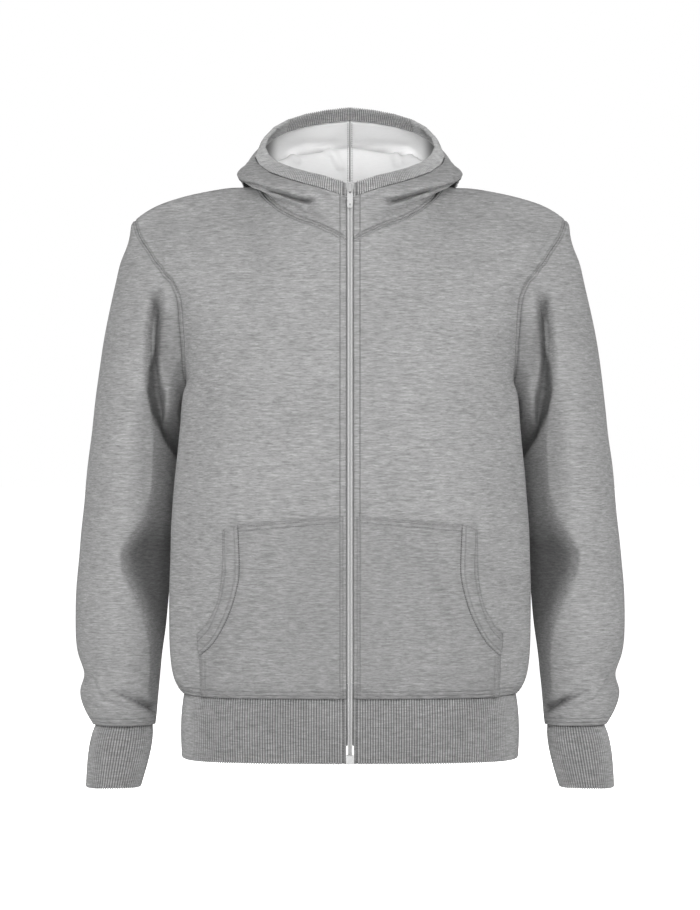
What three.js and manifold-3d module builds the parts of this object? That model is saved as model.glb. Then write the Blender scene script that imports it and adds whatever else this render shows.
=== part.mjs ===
// A zip up hoodie, filled out as if worn, with nothing inside it.
// Millimetres. +Z is up, the front faces -Y, and +X is to the viewer's right.
// The origin is at the middle of the neck, level with the highest shoulder points.
// Left and right are as seen from the front.
import * as THREE from 'three';
import { mergeVertices } from 'three/addons/utils/BufferGeometryUtils.js';
import Module from 'manifold-3d';

const wasm = await Module();
wasm.setup();

// Cloth and seams
const WALL = 2;
const RIB_WALL = 3;
const BINDING_WALL = 4;
const GAP = 0.3;
const RIB_PITCH = 3.06;
const RIB_HEIGHT = 0.9;

// Levels and widths that drive the body
const HEM_SEAM_Z = -620;
const HEM_BOTTOM_Z = -698;
const CUFF_SEAM_Z = -659;
const CUFF_BOTTOM_Z = -735;
const ZIP_TOP_Z = -9;
const ZIP_HALF_OPENING = 4.4;
const FRONT_FOLD_Y = 48;
const FRONT_FOLD_SPREAD = 24;

// Steps of the panels' grids
const SIDE_STEPS = 8;
const ARMHOLE_STEPS = 12;
const NECK_STEPS = 6;
const SHOULDER_STEPS = 6;
const PANEL_STEPS = NECK_STEPS + SHOULDER_STEPS;
const PANEL_ROWS = SIDE_STEPS + ARMHOLE_STEPS;
const POCKET_INNER_X = 8.5;

// The centre front, down the zip, from the hem to the top of the hood's edge
const zipLine = [
  { z: HEM_BOTTOM_Z, y: -111 },
  { z: HEM_SEAM_Z, y: -114 },
  { z: -600, y: -121 },
  { z: -540, y: -123 },
  { z: -450, y: -122 },
  { z: -300, y: -121 },
  { z: -200, y: -117 },
  { z: -120, y: -106 },
  { z: -76, y: -97 },
  { z: -26, y: -100 },
  { z: ZIP_TOP_Z, y: -101 },
];

// The centre back, from the hem to the neck
const backLine = [
  { z: HEM_BOTTOM_Z, y: 110 },
  { z: HEM_SEAM_Z, y: 112 },
  { z: -598, y: 120 },
  { z: -500, y: 117 },
  { z: -400, y: 112 },
  { z: -300, y: 113 },
  { z: -200, y: 115 },
  { z: -110, y: 108 },
  { z: -50, y: 92 },
  { z: -12, y: 76 },
];

// Level sections from the hem seam to the underarm. side is the side seam's distance from
// the middle, front the level of the same row at the zip, and fold how far the long soft
// fold beside the sleeve stands out.
const bodySections = [
  { z: HEM_SEAM_Z, side: 202, front: HEM_SEAM_Z, fold: 3 },
  { z: -608, side: 205, front: -608, fold: 8 },
  { z: -590, side: 206, front: -590, fold: 12 },
  { z: -555, side: 206, front: -556, fold: 14 },
  { z: -500, side: 205, front: -503, fold: 14 },
  { z: -430, side: 204, front: -440, fold: 12 },
  { z: -360, side: 202, front: -376, fold: 10 },
  { z: -300, side: 200, front: -321, fold: 9 },
  { z: -256, side: 199, front: -280, fold: 7 },
];
const BODY_ROUNDNESS = 2.9;

// Seam lines of the right half
const shoulderSeam = [
  [115, 0, -2],
  [162, 3, -7],
  [209, 6, -17],
  [240, 8, -28],
  [263, 8, -44],
];
const frontNeckline = [
  [ZIP_HALF_OPENING, -97, -76],
  [24, -92, -65],
  [46, -83, -56],
  [78, -61, -40],
  [104, -27, -17],
  [115, 0, -2],
];
const backNeckline = [
  [0, 76, -12],
  [48, 69, -10],
  [90, 44, -5],
  [115, 0, -2],
];
const frontArmhole = [
  [199, 0, -256],
  [199, -28, -232],
  [201, -44, -190],
  [207, -50, -138],
  [216, -47, -120],
  [230, -39, -104],
  [243, -27, -86],
  [258, -8, -62],
  [263, 8, -44],
];
const backArmhole = [
  [199, 0, -256],
  [200, 32, -236],
  [206, 54, -192],
  [216, 60, -144],
  [234, 48, -100],
  [254, 28, -64],
  [263, 8, -44],
];

// Level rings of the hanging sleeve. groove is the depth of the long valley that runs down
// its front and back, where the arm's fullness folds in behind the body's edge.
const sleeveRings = [
  { z: -300, outer: 314, inner: 212, front: -70, back: 80, groove: 15 },
  { z: -342, outer: 320, inner: 212, front: -69, back: 77, groove: 15 },
  { z: -384, outer: 324, inner: 213, front: -67, back: 73, groove: 12 },
  { z: -424, outer: 328, inner: 215, front: -66, back: 68, groove: 6 },
  { z: -462, outer: 331, inner: 219, front: -66, back: 62, groove: 2 },
  { z: -502, outer: 334, inner: 223, front: -66, back: 56, groove: 0 },
  { z: -541, outer: 334, inner: 226, front: -65, back: 50, groove: 0 },
  { z: -574, outer: 331, inner: 230, front: -62, back: 45, groove: 0 },
  { z: -598, outer: 323, inner: 232, front: -58, back: 41, groove: 0 },
  { z: -617, outer: 328, inner: 234, front: -60, back: 42, groove: 0 },
  { z: -640, outer: 323, inner: 235, front: -54, back: 37, groove: 0 },
  { z: CUFF_SEAM_Z, outer: 313, inner: 237, front: -43, back: 27, groove: 0 },
];
const capFractions = [0, 0.12, 0.3, 0.5, 0.74];
const GROOVE_SPREAD = 14;
const frontGrooveTurn = 118;
const backGrooveTurn = 240;

// The cuff's two ends
const cuffRings = [
  { z: CUFF_SEAM_Z, middle: 275, halfWidth: 36, centreY: -8, halfDepth: 32 },
  { z: CUFF_BOTTOM_Z, middle: 288, halfWidth: 33, centreY: -10, halfDepth: 30 },
];
const CUFF_RIBS = 68;
const CUFF_INSIDE_STEPS = 24;

// The hem's lower edge and the plain strip at the ends of a ribbed band
const HEM_BOTTOM_SIDE = 204;
const HEM_INSIDE_STEPS = 56;
const PLAIN_END = 4.5;
const BINDING_SPREAD = 1.03;
const BINDING_CLEAR = 0.7;

// The hood's free edge, from the zip round to the centre seam at the back
const hoodEdge = [
  [ZIP_HALF_OPENING, -101, ZIP_TOP_Z],
  [32, -90, 1],
  [60, -65, 10],
  [91, -27, 25],
  [107, 17, 48],
  [99, 56, 71],
  [76, 89, 89],
  [40, 108, 101],
  [0, 116, 107],
];
const BINDING_WIDTH = 17;
// How the binding hangs from the hood's edge: down, along the cloth under it, and outward
const SEAM_DROP = 0.5;
const SEAM_FOLLOW = 0.75;
const SEAM_SPREAD = 0.2;
const HOOD_STEPS = 2 * NECK_STEPS;
const HOOD_ROWS = 13;

// Sections of the hood from its neck seam to the binding's seam. out is away from the neck
// and up is above the neck seam. station runs from 0 at the zip to 1 at the centre back,
// and facing is the direction of out, turned from the front. The hood is down: behind the
// neck it stands up to a ridge, drops into a pouch and rises again to its free edge.
const hoodSections = [
  {
    station: 0,
    facing: 0,
    path: [[0, 0], [0.5, 6], [1, 12], [1.5, 18], [2, 24], [2.5, 31], [3, 38], [3.5, 44], [4, 50]],
  },
  {
    station: 0.25,
    facing: 42,
    path: [[0, 0], [1, 7], [8, 13], [14, 18], [17, 24], [16, 30], [13, 35], [9, 40], [5, 44]],
  },
  {
    station: 0.5,
    facing: 92,
    path: [[0, 0], [0, 6], [9, 9], [18, 9], [24, 13], [22, 19], [17, 25], [11, 31], [5, 38]],
  },
  {
    station: 0.75,
    facing: 140,
    path: [[0, 0], [-3, 24], [3, 44], [17, 36], [33, -10], [52, -44], [76, -24], [72, 40], [42, 80]],
  },
  {
    station: 1,
    facing: 180,
    path: [[0, 0], [-7, 32], [0, 62], [24, 44], [42, -50], [64, -82], [94, -54], [94, 40], [50, 104]],
  },
];

// Pocket outlines on the right front, looked at from the front as X and Z
const pocketTop = [[POCKET_INNER_X, -404], [132.5, -415]];
const pocketSeam = [[132.5, -415], [130.5, -465], [133.5, -490], [143, -521], [160, -553], [178, -571]];
const pocketOpening = [[150, -421], [150, -465], [155, -503], [168, -531], [181, -545]];
const pocketSideFoot = [177, -625];
const POCKET_THICKNESS = 2;
const BAND_THICKNESS = 2.6;
const POCKET_ROWS = 8;
const CUTTER_DEPTH = 200;

// The zip: its chain stands between the fronts, and its tape lies behind them
const CHAIN_HALF_WIDTH = 3.1;
const CHAIN_PROUD = 0.8;
const CHAIN_EXTRA_Z = -660;
const ZIP_SLOPE_REACH = 4;
const TAPE_REACH = 0.45;
const TAPE_CLEAR = 0.6;
const TAPE_THICKNESS = 1;
const BOX_TOP_Z = -687;
const BOX_HALF_WIDTH = 3.9;
const BOX_PROUD = 2.4;

// The slider and its pull tab, at the top of the zip
const SLIDER = { topZ: -8, length: 15, width: 9.2, waist: 7.2, plate: 1.8, clear: 0.7, corner: 1.6 };
const BRIDGE = {
  width: 2.6, clear: 2.5, bar: 1.2, foot: 2, length: 10.5, start: 2, sunk: 0.4, corner: 1,
};
const TAB = {
  length: 24, width: 7, neck: 5.6, shoulder: 1.6, corner: 1.5, thickness: 1.4,
  eyeWidth: 3.4, eyeLength: 6, eyeTip: 1.4, bar: 1.3, hole: 1, holeUp: 4, holeSides: 10,
};
const TAB_AXIS_Z = SLIDER.topZ - 7;

const CLOTH = { color: 0x9c9ea2, roughness: 0.95, metalness: 0 };
const RIBBED = { color: 0x85878b, roughness: 0.95, metalness: 0 };
const POCKET_CLOTH = { color: 0x969a9c, roughness: 0.95, metalness: 0 };
const TAPE = { color: 0xa3a5a8, roughness: 0.7, metalness: 0 };
const METAL = { color: 0xb9bbbe, roughness: 0.35, metalness: 0.9 };

const hoodie = new THREE.Group();

// Adds one named piece to the hoodie
function addPiece(name, geometry, finish, parent = hoodie) {
  const piece = new THREE.Mesh(geometry, new THREE.MeshStandardMaterial(finish));
  piece.name = name;
  parent.add(piece);
  return piece;
}

// Reads a column of a table at a place between its rows, on a smooth curve
function readTable(rows, key, place, column) {
  const last = rows.length - 1;
  const rising = rows[last][key] > rows[0][key] ? 1 : -1;
  const at = (row) => rows[row][key] * rising;
  const target = place * rising;
  if (target <= at(0)) return rows[0][column];
  if (target >= at(last)) return rows[last][column];
  let low = 0;
  while (at(low + 1) < target) low += 1;
  const slope = (row) => {
    const before = Math.max(row - 1, 0);
    const after = Math.min(row + 1, last);
    return (rows[after][column] - rows[before][column]) / (at(after) - at(before));
  };
  const span = at(low + 1) - at(low);
  const t = (target - at(low)) / span;
  return hermite(rows[low][column], rows[low + 1][column], slope(low) * span, slope(low + 1) * span, t);
}

function hermite(start, end, startSlope, endSlope, t) {
  const t2 = t * t;
  const t3 = t2 * t;
  return start * (2 * t3 - 3 * t2 + 1) + startSlope * (t3 - 2 * t2 + t)
    + end * (3 * t2 - 2 * t3) + endSlope * (t3 - t2);
}

// Evenly spaced points on a smooth curve through a few given ones
function curvePoints(points, steps) {
  const places = points.map((point) => new THREE.Vector3(...point));
  const curve = new THREE.CatmullRomCurve3(places, false, 'centripetal');
  curve.arcLengthDivisions = 400;
  return curve.getSpacedPoints(steps);
}

function mix(a, b, t) {
  return a + (b - a) * t;
}

// The outward direction at each point of a grid whose rows run up and columns run round
function gridNormals(grid, closed) {
  return grid.map((row, r) => row.map((point, c) => {
    const count = row.length;
    const before = closed ? (c + count - 1) % count : Math.max(c - 1, 0);
    const after = closed ? (c + 1) % count : Math.min(c + 1, count - 1);
    const low = grid[Math.max(r - 1, 0)][c];
    const high = grid[Math.min(r + 1, grid.length - 1)][c];
    const along = row[after].clone().sub(row[before]);
    const up = high.clone().sub(low);
    return along.cross(up).normalize();
  }));
}

const seamNormals = new Map();

function placeKey(point) {
  return [point.x, point.y, point.z].map((value) => Math.round(value * 20)).join(' ');
}

// Panels that meet at a seam share one direction there, so that their cut edges face
function noteNormals(grid, normals) {
  grid.forEach((row, r) => row.forEach((point, c) => {
    const key = placeKey(point);
    const sum = seamNormals.get(key) ?? new THREE.Vector3();
    seamNormals.set(key, sum.add(normals[r][c]));
  }));
}

function sharedNormals(grid) {
  return grid.map((row) => row.map((point) => seamNormals.get(placeKey(point)).clone().normalize()));
}

function mirrorGrid(grid) {
  return grid.map((row) => row.map((point) => new THREE.Vector3(-point.x, point.y, point.z)).reverse());
}

// Moves the points at a panel's edges back from its seams, by half of the gap, and a
// tube's first ring, which is set into another piece, by the whole of it
function drawBack(grid, closed) {
  const lastRow = grid.length - 1;
  const moved = grid.map((row) => row.map((point) => point.clone()));
  const pull = (r, c, fromRow, fromColumn, distance = GAP / 2) => {
    const inward = grid[fromRow][fromColumn].clone().sub(grid[r][c]).normalize();
    moved[r][c].addScaledVector(inward, distance);
  };
  grid[0].forEach((point, c) => {
    pull(0, c, 1, c, closed ? GAP : GAP / 2);
    pull(lastRow, c, lastRow - 1, c);
  });
  if (!closed) {
    grid.forEach((row, r) => {
      pull(r, 0, r, 1);
      pull(r, row.length - 1, r, row.length - 2);
    });
  }
  return moved;
}

function offsetGrid(grid, normals, distance) {
  return grid.map((row, r) => row.map((point, c) => (
    point.clone().addScaledVector(normals[r][c], distance)
  )));
}

// Turns lists of points and triangles into a closed geometry with its faces pointing out
function closedGeometry(points, triangles) {
  let volume = 0;
  for (const [a, b, c] of triangles) {
    volume += points[a].dot(points[b].clone().cross(points[c]));
  }
  const order = volume > 0 ? ([a, b, c]) => [a, b, c] : ([a, b, c]) => [a, c, b];
  const geometry = new THREE.BufferGeometry();
  const numbers = points.flatMap((point) => point.toArray());
  geometry.setAttribute('position', new THREE.Float32BufferAttribute(numbers, 3));
  geometry.setIndex(triangles.flatMap(order));
  geometry.computeVertexNormals();
  return geometry;
}

// A wall of cloth between an outer and an inner grid
function wallGeometry(outer, inner, closed) {
  const rows = outer.length;
  const columns = outer[0].length;
  const points = [...outer.flat(), ...inner.flat()];
  const face = rows * columns;
  const at = (r, c) => r * columns + (c % columns);
  const triangles = [];
  const quad = (a, b, c, d) => triangles.push([a, b, c], [a, c, d]);
  const steps = closed ? columns : columns - 1;
  for (let r = 0; r < rows - 1; r += 1) {
    for (let c = 0; c < steps; c += 1) {
      const corners = [at(r, c), at(r, c + 1), at(r + 1, c + 1), at(r + 1, c)];
      const rising = points[corners[0]].distanceTo(points[corners[2]]);
      const falling = points[corners[1]].distanceTo(points[corners[3]]);
      // The shorter diagonal, on both faces, so that left and right match
      const [a, b, d, e] = rising <= falling ? corners : [...corners.slice(1), corners[0]];
      quad(a, b, d, e);
      quad(face + a, face + e, face + d, face + b);
    }
  }
  const edge = (a, b, c, d) => {
    const shorter = points[a].distanceTo(points[c]) <= points[b].distanceTo(points[d]);
    if (shorter) quad(a, b, c, d);
    else quad(b, c, d, a);
  };
  for (let c = 0; c < steps; c += 1) {
    edge(at(0, c + 1), at(0, c), face + at(0, c), face + at(0, c + 1));
    edge(at(rows - 1, c), at(rows - 1, c + 1), face + at(rows - 1, c + 1), face + at(rows - 1, c));
  }
  if (!closed) {
    for (let r = 0; r < rows - 1; r += 1) {
      edge(at(r, 0), at(r + 1, 0), face + at(r + 1, 0), face + at(r, 0));
      const low = at(r, columns - 1);
      const high = at(r + 1, columns - 1);
      edge(high, low, face + low, face + high);
    }
  }
  return closedGeometry(points, triangles);
}

// A panel of cloth whose outer face is the given grid
function clothPanel(grid, closed = false, wall = WALL) {
  const normals = sharedNormals(grid);
  const outer = drawBack(grid, closed);
  const inner = drawBack(offsetGrid(grid, normals, -wall), closed);
  return wallGeometry(outer, inner, closed);
}

// One row of a body panel: a rounded arc from the centre line to the side
function bodyArc(centre, side, endTurn, steps, forward, fold) {
  const power = 2 / BODY_ROUNDNESS;
  const endSine = Math.sin(endTurn) ** power;
  const endRise = 1 - Math.cos(endTurn) ** power;
  const fine = 90;
  const dense = [];
  for (let step = 0; step <= fine; step += 1) {
    const turn = (endTurn * step) / fine;
    const across = (Math.sin(turn) ** power) / endSine;
    const back = (1 - Math.max(Math.cos(turn), 0) ** power) / endRise;
    const y = mix(centre.y, side.y, back);
    const lift = fold * Math.exp(-(((y - forward * FRONT_FOLD_Y) / FRONT_FOLD_SPREAD) ** 2));
    const edge = Math.abs(side.y - y) / 30;
    const x = mix(centre.x, side.x, across) + lift * Math.min(1, edge);
    dense.push(new THREE.Vector3(x, y, 0));
  }
  const curve = new THREE.CatmullRomCurve3(dense);
  curve.arcLengthDivisions = 300;
  return curve.getSpacedPoints(steps).map((point, column) => {
    point.z = mix(centre.z, side.z, column / steps);
    return point;
  });
}

// The right half of the front or the back, from the hem seam to the neck and shoulder.
// forward is -1 for the front and 1 for the back.
function bodyHalf(forward, line, neckline, armhole, centreX) {
  const armholePoints = curvePoints(armhole, ARMHOLE_STEPS);
  const shoulder = curvePoints(shoulderSeam, SHOULDER_STEPS);
  const top = [...curvePoints(neckline, NECK_STEPS), ...shoulder.slice(1)];
  const neckZ = neckline[0][2];
  const underarm = bodySections[SIDE_STEPS];
  const rows = [];
  const sides = [];
  const centres = [];
  for (let row = 0; row <= PANEL_ROWS; row += 1) {
    const above = row - SIDE_STEPS;
    const section = bodySections[Math.min(row, SIDE_STEPS)];
    const centreZ = above <= 0 ? section.front : mix(underarm.front, neckZ, above / ARMHOLE_STEPS);
    const centreY = readTable(line, 'z', centreZ, 'y');
    centres.push(new THREE.Vector3(centreX, centreY, centreZ));
    sides.push(above <= 0 ? new THREE.Vector3(section.side, 0, section.z) : armholePoints[above]);
  }
  centres[PANEL_ROWS] = top[0].clone();
  for (let row = 0; row <= PANEL_ROWS; row += 1) {
    const rise = Math.max(row - SIDE_STEPS, 0) / ARMHOLE_STEPS;
    const endTurn = THREE.MathUtils.degToRad(mix(90, 62, Math.min(1, rise * 1.6)));
    const fold = row <= SIDE_STEPS ? bodySections[row].fold * (forward < 0 ? 1 : 0.5) : 0;
    const arc = bodyArc(centres[row], sides[row], endTurn, PANEL_STEPS, forward, fold);
    const blend = rise ** 2.6;
    rows.push(arc.map((point, column) => {
      const across = column / PANEL_STEPS;
      const shift = centres[row].clone().sub(centres[PANEL_ROWS]).multiplyScalar(1 - across)
        .add(sides[row].clone().sub(sides[PANEL_ROWS]).multiplyScalar(across));
      return point.lerp(top[column].clone().add(shift), blend);
    }));
    rows[row][0].copy(centres[row]);
    rows[row][PANEL_STEPS].copy(sides[row]);
  }
  rows[PANEL_ROWS] = top.map((point) => point.clone());
  return rows;
}

const frontRight = bodyHalf(-1, zipLine, frontNeckline, frontArmhole, ZIP_HALF_OPENING);
const backHalf = bodyHalf(1, backLine, backNeckline, backArmhole, 0);
const frontLeft = mirrorGrid(frontRight);
const backPanel = backHalf.map((row) => {
  const right = [...row].reverse();
  const left = row.slice(1).map((point) => new THREE.Vector3(-point.x, point.y, point.z));
  return [...right, ...left];
});

// The right sleeve: its first ring is the armhole seam, and the cap's rings swing down from
// there to the first level ring under the arm
function sleeveGrid() {
  const front = frontRight.slice(SIDE_STEPS).map((row) => row[PANEL_STEPS]).reverse();
  const back = backHalf.slice(SIDE_STEPS).map((row) => row[PANEL_STEPS]);
  const armholeRing = [...front, ...back.slice(1, -1)];
  const count = armholeRing.length;
  const turns = armholeRing.map((point, column) => (2 * Math.PI * column) / count);
  const levelRing = (ring) => turns.map((turn) => {
    const middleX = (ring.outer + ring.inner) / 2;
    const middleY = (ring.front + ring.back) / 2;
    const degrees = THREE.MathUtils.radToDeg(turn);
    const nearFront = Math.exp(-(((degrees - frontGrooveTurn) / GROOVE_SPREAD) ** 2));
    const nearBack = Math.exp(-(((degrees - backGrooveTurn) / GROOVE_SPREAD) ** 2));
    const depth = (ring.back - ring.front) / 2;
    const keep = 1 - (ring.groove * Math.max(nearFront, 0.7 * nearBack)) / depth;
    const x = middleX + Math.cos(turn) * ((ring.outer - ring.inner) / 2);
    const y = middleY - Math.sin(turn) * depth * keep;
    return new THREE.Vector3(x, y, ring.z);
  });
  const firstLevel = levelRing(sleeveRings[0]);
  const rings = capFractions.map((t) => armholeRing.map((start, column) => {
    const turn = turns[column];
    const end = firstLevel[column];
    const outward = (1 + Math.cos(turn)) / 2;
    const startSlope = new THREE.Vector3(mix(48, 46, outward), -16 * Math.sin(turn), mix(4, -60, outward));
    const endSlope = new THREE.Vector3(mix(0, 10, outward), 0, mix(-60, -220, outward));
    return new THREE.Vector3(
      hermite(start.x, end.x, startSlope.x, endSlope.x, t),
      hermite(start.y, end.y, startSlope.y, endSlope.y, t),
      hermite(start.z, end.z, startSlope.z, endSlope.z, t),
    );
  }));
  rings[0] = armholeRing.map((point) => point.clone());
  for (const ring of sleeveRings) {
    rings.push(levelRing(ring));
  }
  return rings;
}

const sleeveRight = sleeveGrid();
const sleeveLeft = mirrorGrid(sleeveRight);

// The right half of the hood, from its neck seam up to the seam of its binding
const hoodEdgePoints = curvePoints(hoodEdge, HOOD_STEPS);

function hoodSectionPoint(station, fraction) {
  const last = hoodSections.length - 1;
  const rows = hoodSections.map((section) => {
    const path = section.path.map(([out, up]) => new THREE.Vector3(out, up, 0));
    const point = new THREE.CatmullRomCurve3(path, false, 'centripetal').getPoint(fraction);
    return { station: section.station, facing: section.facing, out: point.x, up: point.y };
  });
  if (station >= rows[last].station) return rows[last];
  const read = (column) => readTable(rows, 'station', station, column);
  return { facing: read('facing'), out: read('out'), up: read('up') };
}

function hoodGrid() {
  const neck = [
    ...frontRight[PANEL_ROWS].slice(0, NECK_STEPS + 1),
    ...backHalf[PANEL_ROWS].slice(0, NECK_STEPS).reverse(),
  ];
  const columns = neck.map((foot, column) => {
    const station = column / HOOD_STEPS;
    const edge = hoodEdgePoints[column];
    const points = [];
    for (let row = 0; row <= HOOD_ROWS; row += 1) {
      const place = hoodSectionPoint(station, row / HOOD_ROWS);
      const facing = THREE.MathUtils.degToRad(place.facing);
      points.push(new THREE.Vector3(
        foot.x + Math.sin(facing) * place.out,
        foot.y - Math.cos(facing) * place.out,
        foot.z + place.up,
      ));
    }
    const end = points[HOOD_ROWS];
    const before = points[HOOD_ROWS - 2];
    const rise = end.clone().sub(before).normalize();
    const inward = new THREE.Vector3(edge.x, edge.y, 0).normalize().negate();
    const down = new THREE.Vector3(0, 0, -SEAM_DROP).addScaledVector(rise, -SEAM_FOLLOW)
      .addScaledVector(inward, -SEAM_SPREAD).normalize();
    const seam = edge.clone().addScaledVector(down, BINDING_WIDTH);
    const correction = seam.sub(end);
    points.forEach((point, row) => point.addScaledVector(correction, (row / HOOD_ROWS) ** 2));
    if (column === 0) {
      points.forEach((point) => {
        point.x = ZIP_HALF_OPENING;
        point.y = readTable(zipLine, 'z', point.z, 'y');
      });
    }
    if (column === HOOD_STEPS) {
      points.forEach((point) => {
        point.x = 0;
      });
    }
    return points;
  });
  return columns[0].map((point, row) => columns.map((column) => column[row]));
}

const hoodRight = hoodGrid();
const hoodLeft = mirrorGrid(hoodRight);

// Shared directions at the seams, then the cloth panels
const clothGrids = {
  front_right: { grid: frontRight, closed: false },
  front_left: { grid: frontLeft, closed: false },
  back: { grid: backPanel, closed: false },
  sleeve_right: { grid: sleeveRight, closed: true },
  sleeve_left: { grid: sleeveLeft, closed: true },
  hood_right: { grid: hoodRight, closed: false },
  hood_left: { grid: hoodLeft, closed: false },
};

for (const { grid, closed } of Object.values(clothGrids)) {
  noteNormals(grid, gridNormals(grid, closed));
}
for (const [name, { grid, closed }] of Object.entries(clothGrids)) {
  addPiece(name, clothPanel(grid, closed), CLOTH);
}

// Reads a chain of points at a fraction of its length
function chainReader(points) {
  const lengths = [0];
  for (let i = 1; i < points.length; i += 1) {
    lengths.push(lengths[i - 1] + points[i].distanceTo(points[i - 1]));
  }
  const total = lengths[lengths.length - 1];
  const locate = (fraction) => {
    const target = fraction * total;
    let low = 0;
    while (low < points.length - 2 && lengths[low + 1] < target) low += 1;
    return { low, t: (target - lengths[low]) / (lengths[low + 1] - lengths[low]) };
  };
  return {
    total,
    fractions: lengths.map((length) => length / total),
    read(fraction, values = points) {
      const { low, t } = locate(fraction);
      return values[low].clone().lerp(values[low + 1], t);
    },
  };
}

// A ribbed band: the ribs stand out of its outer face, across the band, and its inside is
// plain. low and high give the band's two long edges, and outward the way it faces.
function ribbedBand({ low, high, outward, ribs, plain, insideFractions, wall, closed }) {
  const fine = closed ? [] : [0];
  const heights = closed ? [] : [0];
  const count = closed ? 2 * ribs : 2 * ribs + 1;
  for (let i = 0; i < count; i += 1) {
    fine.push(plain + ((1 - 2 * plain) * i) / (2 * ribs));
    heights.push(i % 2 === 1 ? RIB_HEIGHT / 2 : -RIB_HEIGHT / 2);
  }
  if (!closed) {
    fine.push(1);
    heights.push(0);
  }
  const face = (fractions, offsets, edge) => fractions.map((f, i) => (
    edge(f).addScaledVector(outward(f), offsets[i])
  ));
  const insideOffsets = insideFractions.map(() => -wall);
  const sets = [
    face(fine, heights, low),
    face(fine, heights, high),
    face(insideFractions, insideOffsets, low),
    face(insideFractions, insideOffsets, high),
  ];
  const points = sets.flat();
  const outerCount = fine.length;
  const innerCount = insideFractions.length;
  const lowOuter = (i) => i % outerCount;
  const highOuter = (i) => outerCount + (i % outerCount);
  const lowInner = (k) => 2 * outerCount + (k % innerCount);
  const highInner = (k) => 2 * outerCount + innerCount + (k % innerCount);
  const triangles = [];
  const quad = (a, b, c, d) => triangles.push([a, b, c], [a, c, d]);
  const outerSteps = closed ? outerCount : outerCount - 1;
  const innerSteps = closed ? innerCount : innerCount - 1;
  for (let i = 0; i < outerSteps; i += 1) {
    quad(lowOuter(i), lowOuter(i + 1), highOuter(i + 1), highOuter(i));
  }
  for (let k = 0; k < innerSteps; k += 1) {
    quad(lowInner(k), highInner(k), highInner(k + 1), lowInner(k + 1));
  }
  let i = 0;
  let k = 0;
  while (i < outerSteps || k < innerSteps) {
    const nextOuter = i < outerSteps ? (fine[i + 1] ?? 1) : 2;
    const nextInner = k < innerSteps ? (insideFractions[k + 1] ?? 1) : 2;
    if (nextOuter <= nextInner) {
      triangles.push([lowOuter(i + 1), lowOuter(i), lowInner(k)]);
      triangles.push([highOuter(i), highOuter(i + 1), highInner(k)]);
      i += 1;
    } else {
      triangles.push([lowOuter(i), lowInner(k), lowInner(k + 1)]);
      triangles.push([highOuter(i), highInner(k + 1), highInner(k)]);
      k += 1;
    }
  }
  if (!closed) {
    quad(lowOuter(0), highOuter(0), highInner(0), lowInner(0));
    quad(highOuter(outerSteps), lowOuter(outerSteps), lowInner(innerSteps), highInner(innerSteps));
  }
  return closedGeometry(points, triangles);
}

function evenFractions(steps, closed) {
  const count = closed ? steps : steps + 1;
  return Array.from({ length: count }, (unused, index) => index / steps);
}

// The hem, one band from the zip's right side round the back to its left side
function hemChain(z, side) {
  const front = readTable(zipLine, 'z', z, 'y');
  const back = readTable(backLine, 'z', z, 'y');
  const power = 2 / BODY_ROUNDNESS;
  const fine = 240;
  const points = [];
  for (let step = 0; step <= fine; step += 1) {
    const turn = (2 * Math.PI * step) / fine;
    const across = Math.sign(Math.sin(turn)) * Math.abs(Math.sin(turn)) ** power;
    const depth = Math.abs(Math.cos(turn)) ** power;
    const y = Math.cos(turn) >= 0 ? front * depth : back * depth;
    points.push(new THREE.Vector3(side * across, y, z));
  }
  const inside = points.filter((point) => Math.abs(point.x) > ZIP_HALF_OPENING || point.y > 0);
  const end = new THREE.Vector3(ZIP_HALF_OPENING, front, z);
  return chainReader([end, ...inside, new THREE.Vector3(-ZIP_HALF_OPENING, front, z)]);
}

const hemTop = hemChain(HEM_SEAM_Z - GAP, bodySections[0].side);
const hemBottom = hemChain(HEM_BOTTOM_Z, HEM_BOTTOM_SIDE);
addPiece('hem_rib', ribbedBand({
  low: (f) => hemBottom.read(f),
  high: (f) => hemTop.read(f),
  outward: (f) => {
    const along = hemTop.read(Math.min(f + 0.002, 1)).sub(hemTop.read(Math.max(f - 0.002, 0)));
    return new THREE.Vector3(along.y, -along.x, 0).normalize();
  },
  ribs: Math.round(hemTop.total / RIB_PITCH) - 3,
  plain: PLAIN_END / hemTop.total,
  insideFractions: evenFractions(HEM_INSIDE_STEPS, false),
  wall: RIB_WALL,
  closed: false,
}), RIBBED);

// The cuffs, closed tubes of the same rib
function cuffPoint(ring, fraction, side) {
  const turn = 2 * Math.PI * fraction;
  return new THREE.Vector3(
    side * ring.middle + ring.halfWidth * Math.cos(turn),
    ring.centreY + ring.halfDepth * Math.sin(turn),
    ring.z,
  );
}
for (const [name, side] of [['cuff_right', 1], ['cuff_left', -1]]) {
  const [top, bottom] = cuffRings;
  const seam = { ...top, z: top.z - GAP };
  addPiece(name, ribbedBand({
    low: (f) => cuffPoint(bottom, f, side),
    high: (f) => cuffPoint(seam, f, side),
    outward: (f) => new THREE.Vector3(Math.cos(2 * Math.PI * f), Math.sin(2 * Math.PI * f), 0),
    ribs: CUFF_RIBS,
    plain: 0,
    insideFractions: evenFractions(CUFF_INSIDE_STEPS, true),
    wall: RIB_WALL,
    closed: true,
  }), RIBBED);
}

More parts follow.
